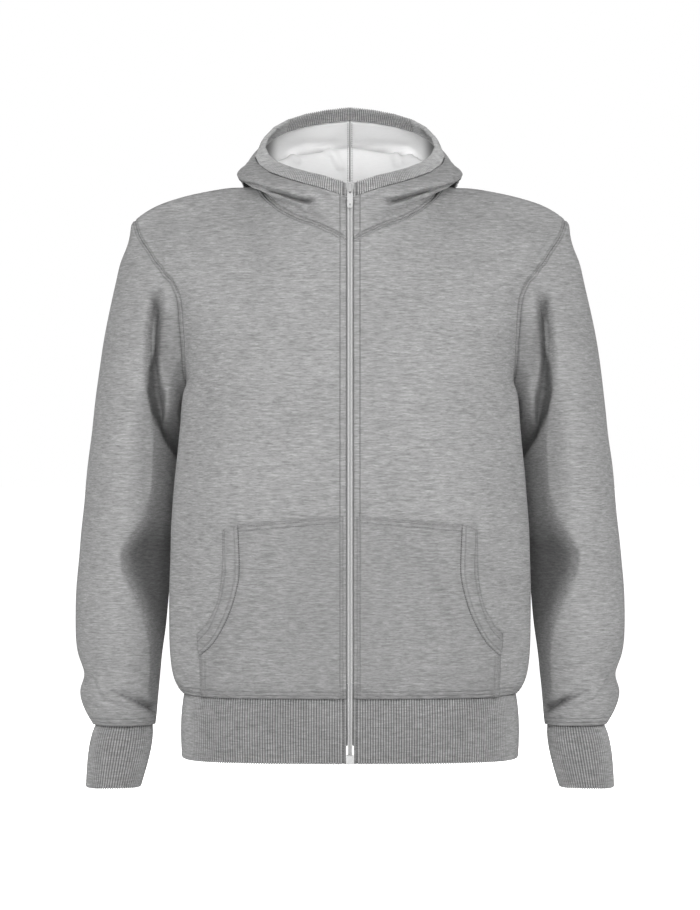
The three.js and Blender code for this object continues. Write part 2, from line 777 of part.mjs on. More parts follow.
// The hood's binding, a folded band of rib along the free edge from zip to zip
const bindingSeam = [...hoodRight[HOOD_ROWS], ...hoodLeft[HOOD_ROWS].slice(1)];
const bindingEdge = [
  ...hoodEdgePoints,
  ...hoodEdgePoints.slice(0, -1).reverse().map((point) => new THREE.Vector3(-point.x, point.y, point.z)),
];
const bindingNormals = bindingSeam.map((point) => seamNormals.get(placeKey(point)).clone().normalize());
const bindingChain = chainReader(bindingSeam);
const bindingLow = bindingSeam.map((point, i) => (
  point.clone().addScaledVector(bindingEdge[i].clone().sub(point).normalize(), BINDING_CLEAR)
));
addPiece('hood_binding', ribbedBand({
  low: (f) => bindingChain.read(f, bindingLow),
  high: (f) => bindingChain.read(f, bindingEdge),
  outward: (f) => bindingChain.read(f, bindingNormals).normalize(),
  ribs: Math.round((bindingChain.total * BINDING_SPREAD) / RIB_PITCH),
  plain: PLAIN_END / bindingChain.total,
  insideFractions: bindingChain.fractions,
  wall: BINDING_WALL,
  closed: false,
}), RIBBED);

// Solid joins and cuts
function toSolid(geometry) {
  const position = geometry.getAttribute('position');
  return new wasm.Manifold(new wasm.Mesh({
    numProp: 3,
    vertProperties: new Float32Array(position.array),
    triVerts: new Uint32Array(geometry.getIndex().array),
  }));
}

function fromSolid(solid, sideways = 1) {
  const { vertProperties, triVerts, numProp } = solid.getMesh();
  const points = [];
  for (let i = 0; i < vertProperties.length; i += numProp) {
    const [x, y, z] = vertProperties.subarray(i, i + 3);
    points.push(new THREE.Vector3(sideways * x, y, z));
  }
  const triangles = [];
  for (let i = 0; i < triVerts.length; i += 3) {
    triangles.push([triVerts[i], triVerts[i + 1], triVerts[i + 2]]);
  }
  return closedGeometry(points, triangles);
}

// An extruded outline, placed by a function of its two flat directions and its depth
function extruded(outline, depth, place, holes = []) {
  const shape = new THREE.Shape(outline.map(([u, w]) => new THREE.Vector2(u, w)));
  shape.holes = holes;
  const flat = new THREE.ExtrudeGeometry(shape, { depth, bevelEnabled: false, curveSegments: 8 });
  flat.deleteAttribute('normal');
  flat.deleteAttribute('uv');
  const merged = mergeVertices(flat, 1e-4);
  const position = merged.getAttribute('position');
  const points = [];
  for (let i = 0; i < position.count; i += 1) {
    points.push(place(position.getX(i), position.getY(i), position.getZ(i)));
  }
  const index = merged.getIndex().array;
  const triangles = [];
  for (let i = 0; i < index.length; i += 3) {
    triangles.push([index[i], index[i + 1], index[i + 2]]);
  }
  return closedGeometry(points, triangles);
}

// The pockets: cut from a wall that lies on the front, just clear of it
function smoothOutline(points, steps) {
  return curvePoints(points.map(([x, z]) => [x, 0, z]), steps).map((point) => [point.x, point.z]);
}
const frontNormals = sharedNormals(frontRight);
const pocketRows = frontRight.slice(0, POCKET_ROWS);
const pocketNormals = frontNormals.slice(0, POCKET_ROWS);
function wallOnFront(thickness) {
  const outer = offsetGrid(pocketRows, pocketNormals, GAP + thickness);
  const inner = offsetGrid(pocketRows, pocketNormals, GAP);
  return toSolid(wallGeometry(outer, inner, false));
}
function cutOnFront(outline, thickness) {
  const cutter = toSolid(extruded(outline, CUTTER_DEPTH, (u, w, depth) => new THREE.Vector3(u, -depth, w)));
  return wallOnFront(thickness).intersect(cutter);
}
const seamCurve = smoothOutline(pocketSeam, 10);
const openingCurve = smoothOutline(pocketOpening, 10);
const seamInside = seamCurve.map(([x, z]) => [x - GAP / 2, z - GAP / 2]);
const seamOutside = seamCurve.map(([x, z]) => [x + GAP / 2, z + GAP / 2]);
const pocketOutline = [
  pocketTop[0],
  ...seamInside,
  [pocketSideFoot[0] - GAP, HEM_SEAM_Z + GAP],
  [pocketTop[0][0], HEM_SEAM_Z + GAP],
];
const bandOutline = [...seamOutside, ...[...openingCurve].reverse()];
const pocketSolid = cutOnFront(pocketOutline, POCKET_THICKNESS);
const bandSolid = cutOnFront(bandOutline, BAND_THICKNESS);
for (const [suffix, side] of [['right', 1], ['left', -1]]) {
  addPiece(`pocket_${suffix}`, fromSolid(pocketSolid, side), POCKET_CLOTH);
  addPiece(`pocket_band_${suffix}`, fromSolid(bandSolid, side), CLOTH);
}

// The zip follows the centre front, at the same levels as the rows beside it
function zipFrame(z) {
  const y = readTable(zipLine, 'z', z, 'y');
  const aboveZ = Math.min(z + ZIP_SLOPE_REACH, ZIP_TOP_Z);
  const belowZ = Math.max(z - ZIP_SLOPE_REACH, HEM_BOTTOM_Z);
  const lean = readTable(zipLine, 'z', aboveZ, 'y') - readTable(zipLine, 'z', belowZ, 'y');
  const outward = new THREE.Vector3(0, belowZ - aboveZ, lean).normalize();
  return { point: new THREE.Vector3(0, y, z), outward };
}
function zipStrip(levels, halfWidth, proud) {
  const column = (depth) => levels.map((z) => {
    const { point, outward } = zipFrame(z);
    const middle = point.addScaledVector(outward, -depth);
    return [-halfWidth, halfWidth].map((x) => new THREE.Vector3(x, middle.y, z));
  });
  return wallGeometry(column(-proud), column(WALL + TAPE_CLEAR + TAPE_THICKNESS), false);
}
const rowLevels = [...frontRight, ...hoodRight.slice(1)].map((row) => row[0].z);
const chainLevels = [BOX_TOP_Z + GAP, CHAIN_EXTRA_Z, ...rowLevels, ZIP_TOP_Z];
addPiece('zip_chain', zipStrip(chainLevels, CHAIN_HALF_WIDTH, CHAIN_PROUD), TAPE);
addPiece('zip_box', zipStrip([HEM_BOTTOM_Z, BOX_TOP_Z], BOX_HALF_WIDTH, BOX_PROUD), METAL);

// Each half of the zip's tape lies behind its front and the hood above it, from the
// panels' own points moved in
const tapeRows = [...frontRight, ...hoodRight.slice(1)].map((row) => [
  new THREE.Vector3(CHAIN_HALF_WIDTH + GAP, row[0].y, row[0].z),
  row[0].clone(),
  row[0].clone().lerp(row[1], TAPE_REACH),
]);
const tapeNormals = [...sharedNormals(frontRight), ...sharedNormals(hoodRight).slice(1)].map((row) => [
  row[0],
  row[0],
  row[0].clone().lerp(row[1], TAPE_REACH).normalize(),
]);
const tapeFace = offsetGrid(tapeRows, tapeNormals, -WALL - TAPE_CLEAR);
const tapeBack = offsetGrid(tapeRows, tapeNormals, -WALL - TAPE_CLEAR - TAPE_THICKNESS);
for (const row of [...tapeFace, ...tapeBack]) {
  row[0].x = CHAIN_HALF_WIDTH + GAP;
}
addPiece('zip_tape_right', wallGeometry(tapeFace, tapeBack, false), TAPE);
addPiece('zip_tape_left', wallGeometry(mirrorGrid(tapeFace), mirrorGrid(tapeBack), false), TAPE);

// The slider rests at the top of the chain. Its face leans with the zip.
const sliderFrame = zipFrame(TAB_AXIS_Z);
const sliderGroup = new THREE.Group();
sliderGroup.position.copy(sliderFrame.point);
sliderGroup.rotation.x = Math.atan2(-sliderFrame.outward.z, -sliderFrame.outward.y);
hoodie.add(sliderGroup);
const plateBack = CHAIN_PROUD + SLIDER.clear;
const plateFront = plateBack + SLIDER.plate;
const sliderTop = SLIDER.topZ - TAB_AXIS_Z;
const sliderFoot = sliderTop - SLIDER.length;
const plateOutline = [
  [-SLIDER.width / 2 + SLIDER.corner, sliderTop],
  [SLIDER.width / 2 - SLIDER.corner, sliderTop],
  [SLIDER.width / 2, sliderTop - SLIDER.corner],
  [SLIDER.width / 2, sliderTop - SLIDER.length / 3],
  [SLIDER.waist / 2, sliderFoot],
  [-SLIDER.waist / 2, sliderFoot],
  [-SLIDER.width / 2, sliderTop - SLIDER.length / 3],
  [-SLIDER.width / 2, sliderTop - SLIDER.corner],
];
const plate = extruded(plateOutline, SLIDER.plate, (u, w, depth) => (
  new THREE.Vector3(u, -plateBack - depth, w)
));
const bridgeTop = sliderTop - BRIDGE.start;
const bridgeFoot = bridgeTop - BRIDGE.length;
const bridgeHeight = BRIDGE.clear + BRIDGE.bar;
const bridgeOutline = [
  [-BRIDGE.sunk, bridgeTop],
  [bridgeHeight - BRIDGE.corner, bridgeTop],
  [bridgeHeight, bridgeTop - BRIDGE.corner],
  [bridgeHeight, bridgeFoot + BRIDGE.corner],
  [bridgeHeight - BRIDGE.corner, bridgeFoot],
  [-BRIDGE.sunk, bridgeFoot],
  [-BRIDGE.sunk, bridgeFoot + BRIDGE.foot],
  [BRIDGE.clear, bridgeFoot + BRIDGE.foot],
  [BRIDGE.clear, bridgeTop - BRIDGE.foot],
  [-BRIDGE.sunk, bridgeTop - BRIDGE.foot],
];
const bridge = extruded(bridgeOutline, BRIDGE.width, (u, w, depth) => (
  new THREE.Vector3(depth - BRIDGE.width / 2, -plateFront - u, w)
));
addPiece('slider', fromSolid(toSolid(plate).add(toSolid(bridge))), METAL, sliderGroup);

// The pull tab hangs from the bridge by its eye, and turns about the eye's top bar
const tabGroup = new THREE.Group();
const axisDepth = plateFront + BRIDGE.clear / 2;
const axisPlace = new THREE.Vector3(0, -axisDepth, 0)
  .applyEuler(sliderGroup.rotation).add(sliderFrame.point);
tabGroup.position.copy(axisPlace);
hoodie.add(tabGroup);
const tabOutline = [
  [-TAB.neck / 2, TAB.bar / 2],
  [TAB.neck / 2, TAB.bar / 2],
  [TAB.neck / 2, -TAB.eyeLength],
  [TAB.width / 2, -TAB.eyeLength - TAB.shoulder],
  [TAB.width / 2, -TAB.length + TAB.corner],
  [TAB.width / 2 - TAB.corner, -TAB.length],
  [-TAB.width / 2 + TAB.corner, -TAB.length],
  [-TAB.width / 2, -TAB.length + TAB.corner],
  [-TAB.width / 2, -TAB.eyeLength - TAB.shoulder],
  [-TAB.neck / 2, -TAB.eyeLength],
];
const eye = new THREE.Path([
  [-TAB.eyeWidth / 2, -TAB.bar / 2],
  [-TAB.eyeWidth / 2, -TAB.eyeLength],
  [0, -TAB.eyeLength - TAB.eyeTip],
  [TAB.eyeWidth / 2, -TAB.eyeLength],
  [TAB.eyeWidth / 2, -TAB.bar / 2],
].map(([u, w]) => new THREE.Vector2(u, w)));
const hole = new THREE.Path(Array.from({ length: TAB.holeSides }, (unused, index) => {
  const turn = (2 * Math.PI * index) / TAB.holeSides;
  const middle = TAB.holeUp - TAB.length;
  return new THREE.Vector2(-TAB.hole * Math.sin(turn), middle + TAB.hole * Math.cos(turn));
}));
addPiece('pull_tab', extruded(tabOutline, TAB.thickness, (u, w, depth) => (
  new THREE.Vector3(u, TAB.thickness / 2 - depth, w)
), [eye, hole]), METAL, tabGroup);

export default hoodie;
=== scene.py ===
import math
import bmesh
import bpy
import numpy as np
from mathutils import Matrix, Vector, noise
from mathutils.bvhtree import BVHTree
from mathutils.kdtree import KDTree


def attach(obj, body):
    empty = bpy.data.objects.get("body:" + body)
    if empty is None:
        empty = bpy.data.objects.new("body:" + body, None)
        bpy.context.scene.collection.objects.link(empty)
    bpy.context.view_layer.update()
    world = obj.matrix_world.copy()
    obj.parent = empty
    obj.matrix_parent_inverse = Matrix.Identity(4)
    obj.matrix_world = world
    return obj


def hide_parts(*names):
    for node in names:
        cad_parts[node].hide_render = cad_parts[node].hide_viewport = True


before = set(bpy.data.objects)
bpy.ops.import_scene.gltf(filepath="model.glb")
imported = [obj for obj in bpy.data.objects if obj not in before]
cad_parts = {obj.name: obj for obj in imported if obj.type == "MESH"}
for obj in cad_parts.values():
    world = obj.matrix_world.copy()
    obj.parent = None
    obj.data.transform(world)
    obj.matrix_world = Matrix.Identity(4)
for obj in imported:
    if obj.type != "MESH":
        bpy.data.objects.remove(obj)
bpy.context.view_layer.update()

# The floor is a wide pale disc well under the cuffs, because the hoodie is held up by the
# shoulders that it was made for. Soft light comes from all round and from broad lamps at its
# two sides, in front and behind. The camera stands level with the chest, three and a half metres away.
CAMERA_DISTANCE = 3.5
CAMERA_HEIGHT = -0.332
PIXELS_PER_RADIAN = 2867.0
PICTURE_WIDTH = 700
PICTURE_HEIGHT = 910
FLOOR_HEIGHT = -0.95

scene = bpy.context.scene
scene.view_settings.view_transform = "Standard"
scene.view_settings.look = "None"

eye = bpy.data.cameras.new("front_camera")
eye.sensor_fit = "VERTICAL"
eye.sensor_height = 36.0
eye.lens = 36.0 * PIXELS_PER_RADIAN / PICTURE_HEIGHT
eye.clip_end = 60.0
camera = bpy.data.objects.new("front_camera", eye)
camera.location = (0.0, -CAMERA_DISTANCE, CAMERA_HEIGHT)
camera.rotation_euler = (math.pi / 2, 0.0, 0.0)
scene.collection.objects.link(camera)
scene.camera = camera

studio = bpy.data.worlds.new("studio")
studio.use_nodes = True
studio_nodes = studio.node_tree.nodes
studio_light = studio_nodes["Background"]
studio_light.inputs["Color"].default_value = (1.0, 1.0, 1.0, 1.0)
studio_light.inputs["Strength"].default_value = 0.2
studio_wall = studio_nodes.new("ShaderNodeBackground")
studio_wall.inputs["Color"].default_value = (1.0, 1.0, 1.0, 1.0)
studio_wall.inputs["Strength"].default_value = 1.0
studio_choice = studio_nodes.new("ShaderNodeMixShader")
studio_rays = studio_nodes.new("ShaderNodeLightPath")
studio_links = studio.node_tree.links
studio_links.new(studio_rays.outputs["Is Camera Ray"], studio_choice.inputs[0])
studio_links.new(studio_light.outputs[0], studio_choice.inputs[1])
studio_links.new(studio_wall.outputs[0], studio_choice.inputs[2])
studio_links.new(studio_choice.outputs[0], studio_nodes["World Output"].inputs["Surface"])
scene.world = studio

for lamp_name, place, size, power in (
    ("lamp_left", (-2.8, -1.9, 0.9), 1.7, 46.0),
    ("lamp_right", (2.8, -1.9, 0.9), 1.7, 46.0),
    ("lamp_front", (0.0, -3.2, 0.9), 1.6, 78.0),
    ("lamp_back", (0.0, 3.2, 0.9), 1.8, 62.0),
):
    bulb = bpy.data.lights.new(lamp_name, "AREA")
    bulb.size = size
    bulb.energy = power
    lamp = bpy.data.objects.new(lamp_name, bulb)
    lamp.location = place
    lamp.rotation_euler = (Vector((0.0, 0.0, -0.35)) - Vector(place)).to_track_quat("-Z", "Y").to_euler()
    scene.collection.objects.link(lamp)

floor_shape = bmesh.new()
bmesh.ops.create_circle(floor_shape, cap_ends=True, segments=64, radius=50.0)
bmesh.ops.translate(floor_shape, verts=floor_shape.verts, vec=(0.0, 0.0, FLOOR_HEIGHT))
floor_mesh = bpy.data.meshes.new("floor")
floor_shape.to_mesh(floor_mesh)
floor_shape.free()
floor = bpy.data.objects.new("floor", floor_mesh)
scene.collection.objects.link(floor)
floor_paint = bpy.data.materials.new("floor_paint")
floor_paint.use_nodes = True
floor_surface = floor_paint.node_tree.nodes["Principled BSDF"]
floor_surface.inputs["Base Color"].default_value = (0.93, 0.93, 0.93, 1.0)
floor_surface.inputs["Roughness"].default_value = 0.95
floor_surface.inputs["Specular IOR Level"].default_value = 0.0
floor_surface.inputs["Emission Color"].default_value = (1.0, 1.0, 1.0, 1.0)
floor_rays = floor_paint.node_tree.nodes.new("ShaderNodeLightPath")
floor_glow = floor_paint.node_tree.nodes.new("ShaderNodeMath")
floor_glow.operation = "MULTIPLY"
floor_glow.inputs[1].default_value = 1.0
floor_paint.node_tree.links.new(floor_rays.outputs["Is Camera Ray"], floor_glow.inputs[0])
floor_paint.node_tree.links.new(floor_glow.outputs[0], floor_surface.inputs["Emission Strength"])
floor_mesh.materials.append(floor_paint)


# The fleece: a light heather grey sweatshirt knit, white and brushed on its inside. Grey and
# pale fibres are spun together, so short level streaks of both run along the courses. The
# face shows tiny knitted loops, and the brushed side a soft raised nap.
def new_group(name, ins, outs):
    """A shared effect, with named inputs and outputs."""
    group = bpy.data.node_groups.new(name, "ShaderNodeTree")
    for label, kind, start in ins:
        socket = group.interface.new_socket(label, in_out="INPUT", socket_type=kind)
        if start is not None:
            socket.default_value = start
    for label, kind in outs:
        group.interface.new_socket(label, in_out="OUTPUT", socket_type=kind)
    return group


def add_node(tree, kind, settings=None, **links):
    """One shader node. A link is a number or colour, or another node's socket."""
    made = tree.nodes.new(kind)
    for label, value in (settings or {}).items():
        setattr(made, label, value)
    for label, value in links.items():
        numbered = label[0] == "i" and label[1:].isdigit()
        socket = made.inputs[int(label[1:]) if numbered else label]
        if isinstance(value, bpy.types.NodeSocket):
            tree.links.new(value, socket)
        else:
            socket.default_value = value
    return made


heather = new_group(
    "heather",
    [
        ("Place", "NodeSocketVector", None),
        ("Ground", "NodeSocketColor", (0.38, 0.385, 0.395, 1.0)),
        ("Pale fibre", "NodeSocketColor", (0.52, 0.52, 0.53, 1.0)),
        ("Dark fibre", "NodeSocketColor", (0.25, 0.255, 0.265, 1.0)),
    ],
    [("Colour", "NodeSocketColor"), ("Fibre", "NodeSocketFloat")],
)
inside = add_node(heather, "NodeGroupInput")
streak_place = add_node(
    heather, "ShaderNodeMapping", i0=inside.outputs["Place"], i3=(80.0, 80.0, 580.0),
)
streaks = add_node(
    heather, "ShaderNodeTexNoise", Vector=streak_place.outputs[0], Scale=1.0, Detail=3.0,
    Roughness=0.65,
)
fleck_place = add_node(
    heather, "ShaderNodeMapping", i0=inside.outputs["Place"], i3=(210.0, 210.0, 900.0),
)
flecks = add_node(
    heather, "ShaderNodeTexNoise", Vector=fleck_place.outputs[0], Scale=1.0, Detail=2.0, Roughness=0.6,
)
cloudy = add_node(
    heather, "ShaderNodeTexNoise", Vector=inside.outputs["Place"], Scale=14.0, Detail=2.0,
    Roughness=0.5,
)
pale = add_node(
    heather, "ShaderNodeMapRange", Value=streaks.outputs[0], i1=0.5, i2=0.78, i3=0.0, i4=1.0,
)
dark = add_node(
    heather, "ShaderNodeMapRange", Value=streaks.outputs[0], i1=0.48, i2=0.25, i3=0.0, i4=1.0,
)
fleck = add_node(
    heather, "ShaderNodeMapRange", Value=flecks.outputs[0], i1=0.5, i2=0.24, i3=0.0, i4=0.75,
)
with_pale = add_node(
    heather, "ShaderNodeMix", {"data_type": "RGBA"},
    i0=pale.outputs[0], i6=inside.outputs["Ground"], i7=inside.outputs["Pale fibre"],
)
with_dark = add_node(
    heather, "ShaderNodeMix", {"data_type": "RGBA"},
    i0=dark.outputs[0], i6=with_pale.outputs[2], i7=inside.outputs["Dark fibre"],
)
with_fleck = add_node(
    heather, "ShaderNodeMix", {"data_type": "RGBA"},
    i0=fleck.outputs[0], i6=with_dark.outputs[2], i7=inside.outputs["Dark fibre"],
)
cloud_shade = add_node(
    heather, "ShaderNodeMapRange", Value=cloudy.outputs[0], i1=0.3, i2=0.7, i3=0.96, i4=1.04,
)
shaded = add_node(
    heather, "ShaderNodeVectorMath", {"operation": "SCALE"},
    i0=with_fleck.outputs[2], Scale=cloud_shade.outputs[0],
)
outside = add_node(heather, "NodeGroupOutput")
heather.links.new(shaded.outputs[0], outside.inputs["Colour"])
heather.links.new(flecks.outputs[0], outside.inputs["Fibre"])


stitch_groove = new_group(
    "stitch_groove", [("Reach", "NodeSocketFloat", 1.0), ("Row", "NodeSocketFloat", 0.0026)],
    [("Groove", "NodeSocketFloat")],
)
inside = add_node(stitch_groove, "NodeGroupInput")
off_row = add_node(
    stitch_groove, "ShaderNodeMath", {"operation": "SUBTRACT"}, i0=inside.outputs[0],
    i1=inside.outputs[1],
)
from_row = add_node(stitch_groove, "ShaderNodeMath", {"operation": "ABSOLUTE"}, i0=off_row.outputs[0])
in_groove = add_node(
    stitch_groove, "ShaderNodeMapRange", {"interpolation_type": "SMOOTHSTEP"},
    Value=from_row.outputs[0], i1=0.0, i2=0.0013, i3=1.0, i4=0.0,
)
outside = add_node(stitch_groove, "NodeGroupOutput")
stitch_groove.links.new(in_groove.outputs[0], outside.inputs[0])


def cloth_material(name, ground, pale_fibre, dark_fibre, bump, rough=0.92, sheen=0.12, rows=()):
    """A knitted cloth with heather streaks, and a fine surface from its fibres. rows are the
    grooves that its stitches pull, each an attribute and the reach at which the row lies;
    painted shade darkens the cloth in these grooves."""
    made = bpy.data.materials.new(name)
    made.use_nodes = True
    tree = made.node_tree
    surface = tree.nodes["Principled BSDF"]
    place = add_node(tree, "ShaderNodeTexCoord").outputs["Object"]
    colours = add_node(tree, "ShaderNodeGroup", {"node_tree": heather}, Place=place)
    colours.inputs["Ground"].default_value = (*ground, 1.0)
    colours.inputs["Pale fibre"].default_value = (*pale_fibre, 1.0)
    colours.inputs["Dark fibre"].default_value = (*dark_fibre, 1.0)
    nap = add_node(tree, "ShaderNodeTexNoise", Vector=place, Scale=900.0, Detail=2.0, Roughness=0.6)
    relief = add_node(tree, "ShaderNodeBump", Strength=bump, Distance=0.0006, Height=nap.outputs[0])
    colour = colours.outputs["Colour"]
    pulled = None
    for label, reach in rows:
        edge = add_node(tree, "ShaderNodeAttribute", {"attribute_name": label})
        groove = add_node(
            tree, "ShaderNodeGroup", {"node_tree": stitch_groove}, Reach=edge.outputs["Fac"], Row=reach,
        ).outputs[0]
        if pulled is not None:
            groove = add_node(
                tree, "ShaderNodeMath", {"operation": "MAXIMUM"}, i0=pulled, i1=groove,
            ).outputs[0]
        pulled = groove
    if pulled is not None:
        level = add_node(tree, "ShaderNodeMath", {"operation": "SUBTRACT"}, i0=1.0, i1=pulled)
        relief = add_node(
            tree, "ShaderNodeBump", Strength=0.7, Distance=0.001, Height=level.outputs[0],
            Normal=relief.outputs[0],
        )
        # Painted shade: the cloth is darkened in the stitch grooves
        shade = add_node(tree, "ShaderNodeMapRange", Value=pulled, i1=0.0, i2=1.0, i3=1.0, i4=0.9)
        colour = add_node(
            tree, "ShaderNodeVectorMath", {"operation": "SCALE"}, i0=colour, Scale=shade.outputs[0],
        ).outputs[0]
    tree.links.new(colour, surface.inputs["Base Color"])
    tree.links.new(relief.outputs[0], surface.inputs["Normal"])
    surface.inputs["Roughness"].default_value = rough
    surface.inputs["Specular IOR Level"].default_value = 0.18
    surface.inputs["Sheen Weight"].default_value = sheen
    surface.inputs["Sheen Roughness"].default_value = 0.5
    return made


def darken_by(made, label, least):
    """Dims a material's colour by an attribute, down to the least share of it where that is 1."""
    tree = made.node_tree
    base = tree.nodes["Principled BSDF"].inputs["Base Color"]
    amount = add_node(tree, "ShaderNodeAttribute", {"attribute_name": label})
    share = add_node(
        tree, "ShaderNodeMapRange", Value=amount.outputs["Fac"], i1=0.0, i2=1.0, i3=1.0, i4=least,
    )
    dimmed = add_node(
        tree, "ShaderNodeVectorMath", {"operation": "SCALE"},
        i0=base.links[0].from_socket, Scale=share.outputs[0],
    )
    tree.links.new(dimmed.outputs[0], base)


SEAM_TO_STITCH = 0.0026
HEM_TO_STITCHES = (0.0036, 0.0085)
ZIP_TO_STITCH = 0.0118
fleece_face = cloth_material(
    "fleece_face", (0.266, 0.266, 0.266), (0.395, 0.395, 0.395), (0.166, 0.166, 0.166), 0.5,
    rows=(
        ("seam", SEAM_TO_STITCH), ("hem", HEM_TO_STITCHES[0]), ("hem", HEM_TO_STITCHES[1]),
        ("zip", ZIP_TO_STITCH),
    ),
)
brushed_inside = cloth_material(
    "brushed_inside", (0.97, 0.97, 0.97), (0.985, 0.985, 0.985), (0.94, 0.94, 0.94), 0.9, sheen=0.2,
)
# Painted shade: the sleeve's deep folds, and the hood's white inside below the neck roll and beside its
# opening, are darkened by these attributes
darken_by(fleece_face, "painted_ply_shade", 0.12)
darken_by(brushed_inside, "painted_neck_shade", 0.71)
darken_by(brushed_inside, "painted_opening_shade", 0.2)

# The cut panels of the hoodie: two fronts, a back, two sleeves and the hood's two halves,
# overlocked together. They are smoothed as one surface, so that the cloth runs on over its
# seams, then creased, cut apart at the seams and given their thickness.
PANELS = ("front_right", "front_left", "back", "sleeve_right", "sleeve_left", "hood_right", "hood_left")
CLOTH_THICKNESS = 0.002
RIM_LENGTH = 0.0025
SEAM_GAP = 0.0012
SMOOTHING = 3

outermost = {
    "front_right": lambda v: -v.co.y,
    "front_left": lambda v: -v.co.y,
    "back": lambda v: v.co.y,
    "sleeve_right": lambda v: v.co.x,
    "sleeve_left": lambda v: -v.co.x,
    "hood_right": lambda v: v.co.y,
    "hood_left": lambda v: v.co.y,
}


def merged_copy(node):
    """A copy of a solid's shape, with its loose triangles joined."""
    skin = bmesh.new()
    skin.from_mesh(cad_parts[node].data)
    bmesh.ops.remove_doubles(skin, verts=skin.verts, dist=0.00002)
    return skin


def keep_connected(skin, seed):
    """Leaves only what is joined to one vertex."""
    kept = {seed}
    waiting = [seed]
    while waiting:
        here = waiting.pop()
        for edge in here.link_edges:
            there = edge.other_vert(here)
            if there not in kept:
                kept.add(there)
                waiting.append(there)
    bmesh.ops.delete(skin, geom=[v for v in skin.verts if v not in kept], context="VERTS")


def new_piece(name, mesh, *materials):
    """An object in the scene for a mesh."""
    piece = bpy.data.objects.new(name, mesh)
    scene.collection.objects.link(piece)
    for material in materials:
        mesh.materials.append(material)
    return piece


def finished_mesh(piece, name):
    """The piece's mesh with its modifiers applied."""
    graph = bpy.context.evaluated_depsgraph_get()
    made = bpy.data.meshes.new_from_object(piece.evaluated_get(graph))
    made.name = name
    return made


whole = bmesh.new()
for number, panel in enumerate(PANELS):
    skin = merged_copy(panel)
    rims = [f for f in skin.faces if min(e.calc_length() for e in f.edges) < RIM_LENGTH]
    bmesh.ops.delete(skin, geom=rims, context="FACES")
    keep_connected(skin, max(skin.verts, key=outermost[panel]))
    for face in skin.faces:
        face.material_index = number
    skin_mesh = bpy.data.meshes.new("skin")
    skin.to_mesh(skin_mesh)
    skin.free()
    whole.from_mesh(skin_mesh)
    bpy.data.meshes.remove(skin_mesh)
bmesh.ops.remove_doubles(whole, verts=whole.verts, dist=SEAM_GAP)
bmesh.ops.join_triangles(
    whole, faces=whole.faces, cmp_materials=True,
    angle_face_threshold=math.pi, angle_shape_threshold=math.pi,
)
whole_mesh = bpy.data.meshes.new("panels")
whole.to_mesh(whole_mesh)
whole.free()
shell = new_piece("panels", whole_mesh)
rounding = shell.modifiers.new("rounding", "SUBSURF")
rounding.levels = SMOOTHING
rounding.render_levels = SMOOTHING
rounding.boundary_smooth = "PRESERVE_CORNERS"
wanted = [v.co.copy() for v in whole_mesh.vertices]
for _ in range(3):
    rounded = finished_mesh(shell, "rounded")
    for vert, target, near in zip(whole_mesh.vertices, wanted, rounded.vertices):
        vert.co += target - near.co
    bpy.data.meshes.remove(rounded)
    whole_mesh.update()
smooth_mesh = finished_mesh(shell, "smooth_panels")
bpy.data.objects.remove(shell)

count = len(smooth_mesh.vertices)
places = np.empty(count * 3)
facings = np.empty(count * 3)
smooth_mesh.vertices.foreach_get("co", places)
smooth_mesh.vertices.foreach_get("normal", facings)
places = places.reshape(-1, 3)
facings = facings.reshape(-1, 3)
face_panels = np.empty(len(smooth_mesh.polygons), dtype=np.int32)
smooth_mesh.polygons.foreach_get("material_index", face_panels)
corners = np.empty(len(smooth_mesh.loops), dtype=np.int32)
smooth_mesh.loops.foreach_get("vertex_index", corners)
corner_panels = np.repeat(face_panels, 4)
on_panel = np.zeros((len(PANELS), count), dtype=bool)
for number in range(len(PANELS)):
    on_panel[number][corners[corner_panels == number]] = True
on_body = on_panel[0] | on_panel[1] | on_panel[2]
on_sleeve = on_panel[3] | on_panel[4]
on_hood = on_panel[5] | on_panel[6]

# Creases are laid down where they show from straight ahead, in pixels of a picture
# 700 by 910 and mirrored from its left half, and on the back in metres of width and height.
# The cloth is never quite even, so each side shifts its creases a little.
sight = CAMERA_DISTANCE + places[:, 1]
across_picture = PICTURE_WIDTH / 2 + PIXELS_PER_RADIAN * places[:, 0] / sight
down_picture = PICTURE_HEIGHT / 2 - PIXELS_PER_RADIAN * (places[:, 2] - CAMERA_HEIGHT) / sight
MM_PER_PIXEL = 1.2
moves = np.zeros((count, 3))
chance = np.random.default_rng(7)


def ramp(value, low, high):
    """0 under low, 1 over high, and smooth between."""
    t = np.clip((value - low) / (high - low), 0.0, 1.0)
    return t * t * (3 - 2 * t)


def half_picture(side):
    """Where each place shows in the picture, its right half mirrored onto the left."""
    across = across_picture if side < 0 else PICTURE_WIDTH - across_picture
    return np.column_stack((across, down_picture))


def along_line(line, flat):
    """How far each flat place is from a line, which side of it, and how far along."""
    best = np.full(len(flat), 1e9)
    signed = np.zeros(len(flat))
    travel = np.zeros(len(flat))
    lengths = np.linalg.norm(np.diff(line, axis=0), axis=1)
    before = 0.0
    for start, end, length in zip(line[:-1], line[1:], lengths):
        step = (end - start) / length
        offset = flat - start
        t = np.clip(offset @ step, 0.0, length)
        gap = np.linalg.norm(offset - t[:, None] * step, axis=1)
        side = step[0] * offset[:, 1] - step[1] * offset[:, 0]
        nearer = gap < best
        best = np.where(nearer, gap, best)
        signed = np.where(nearer, np.where(side > 0, gap, -gap), signed)
        travel = np.where(nearer, before + t, travel)
        before += length
    return best, signed, travel / before


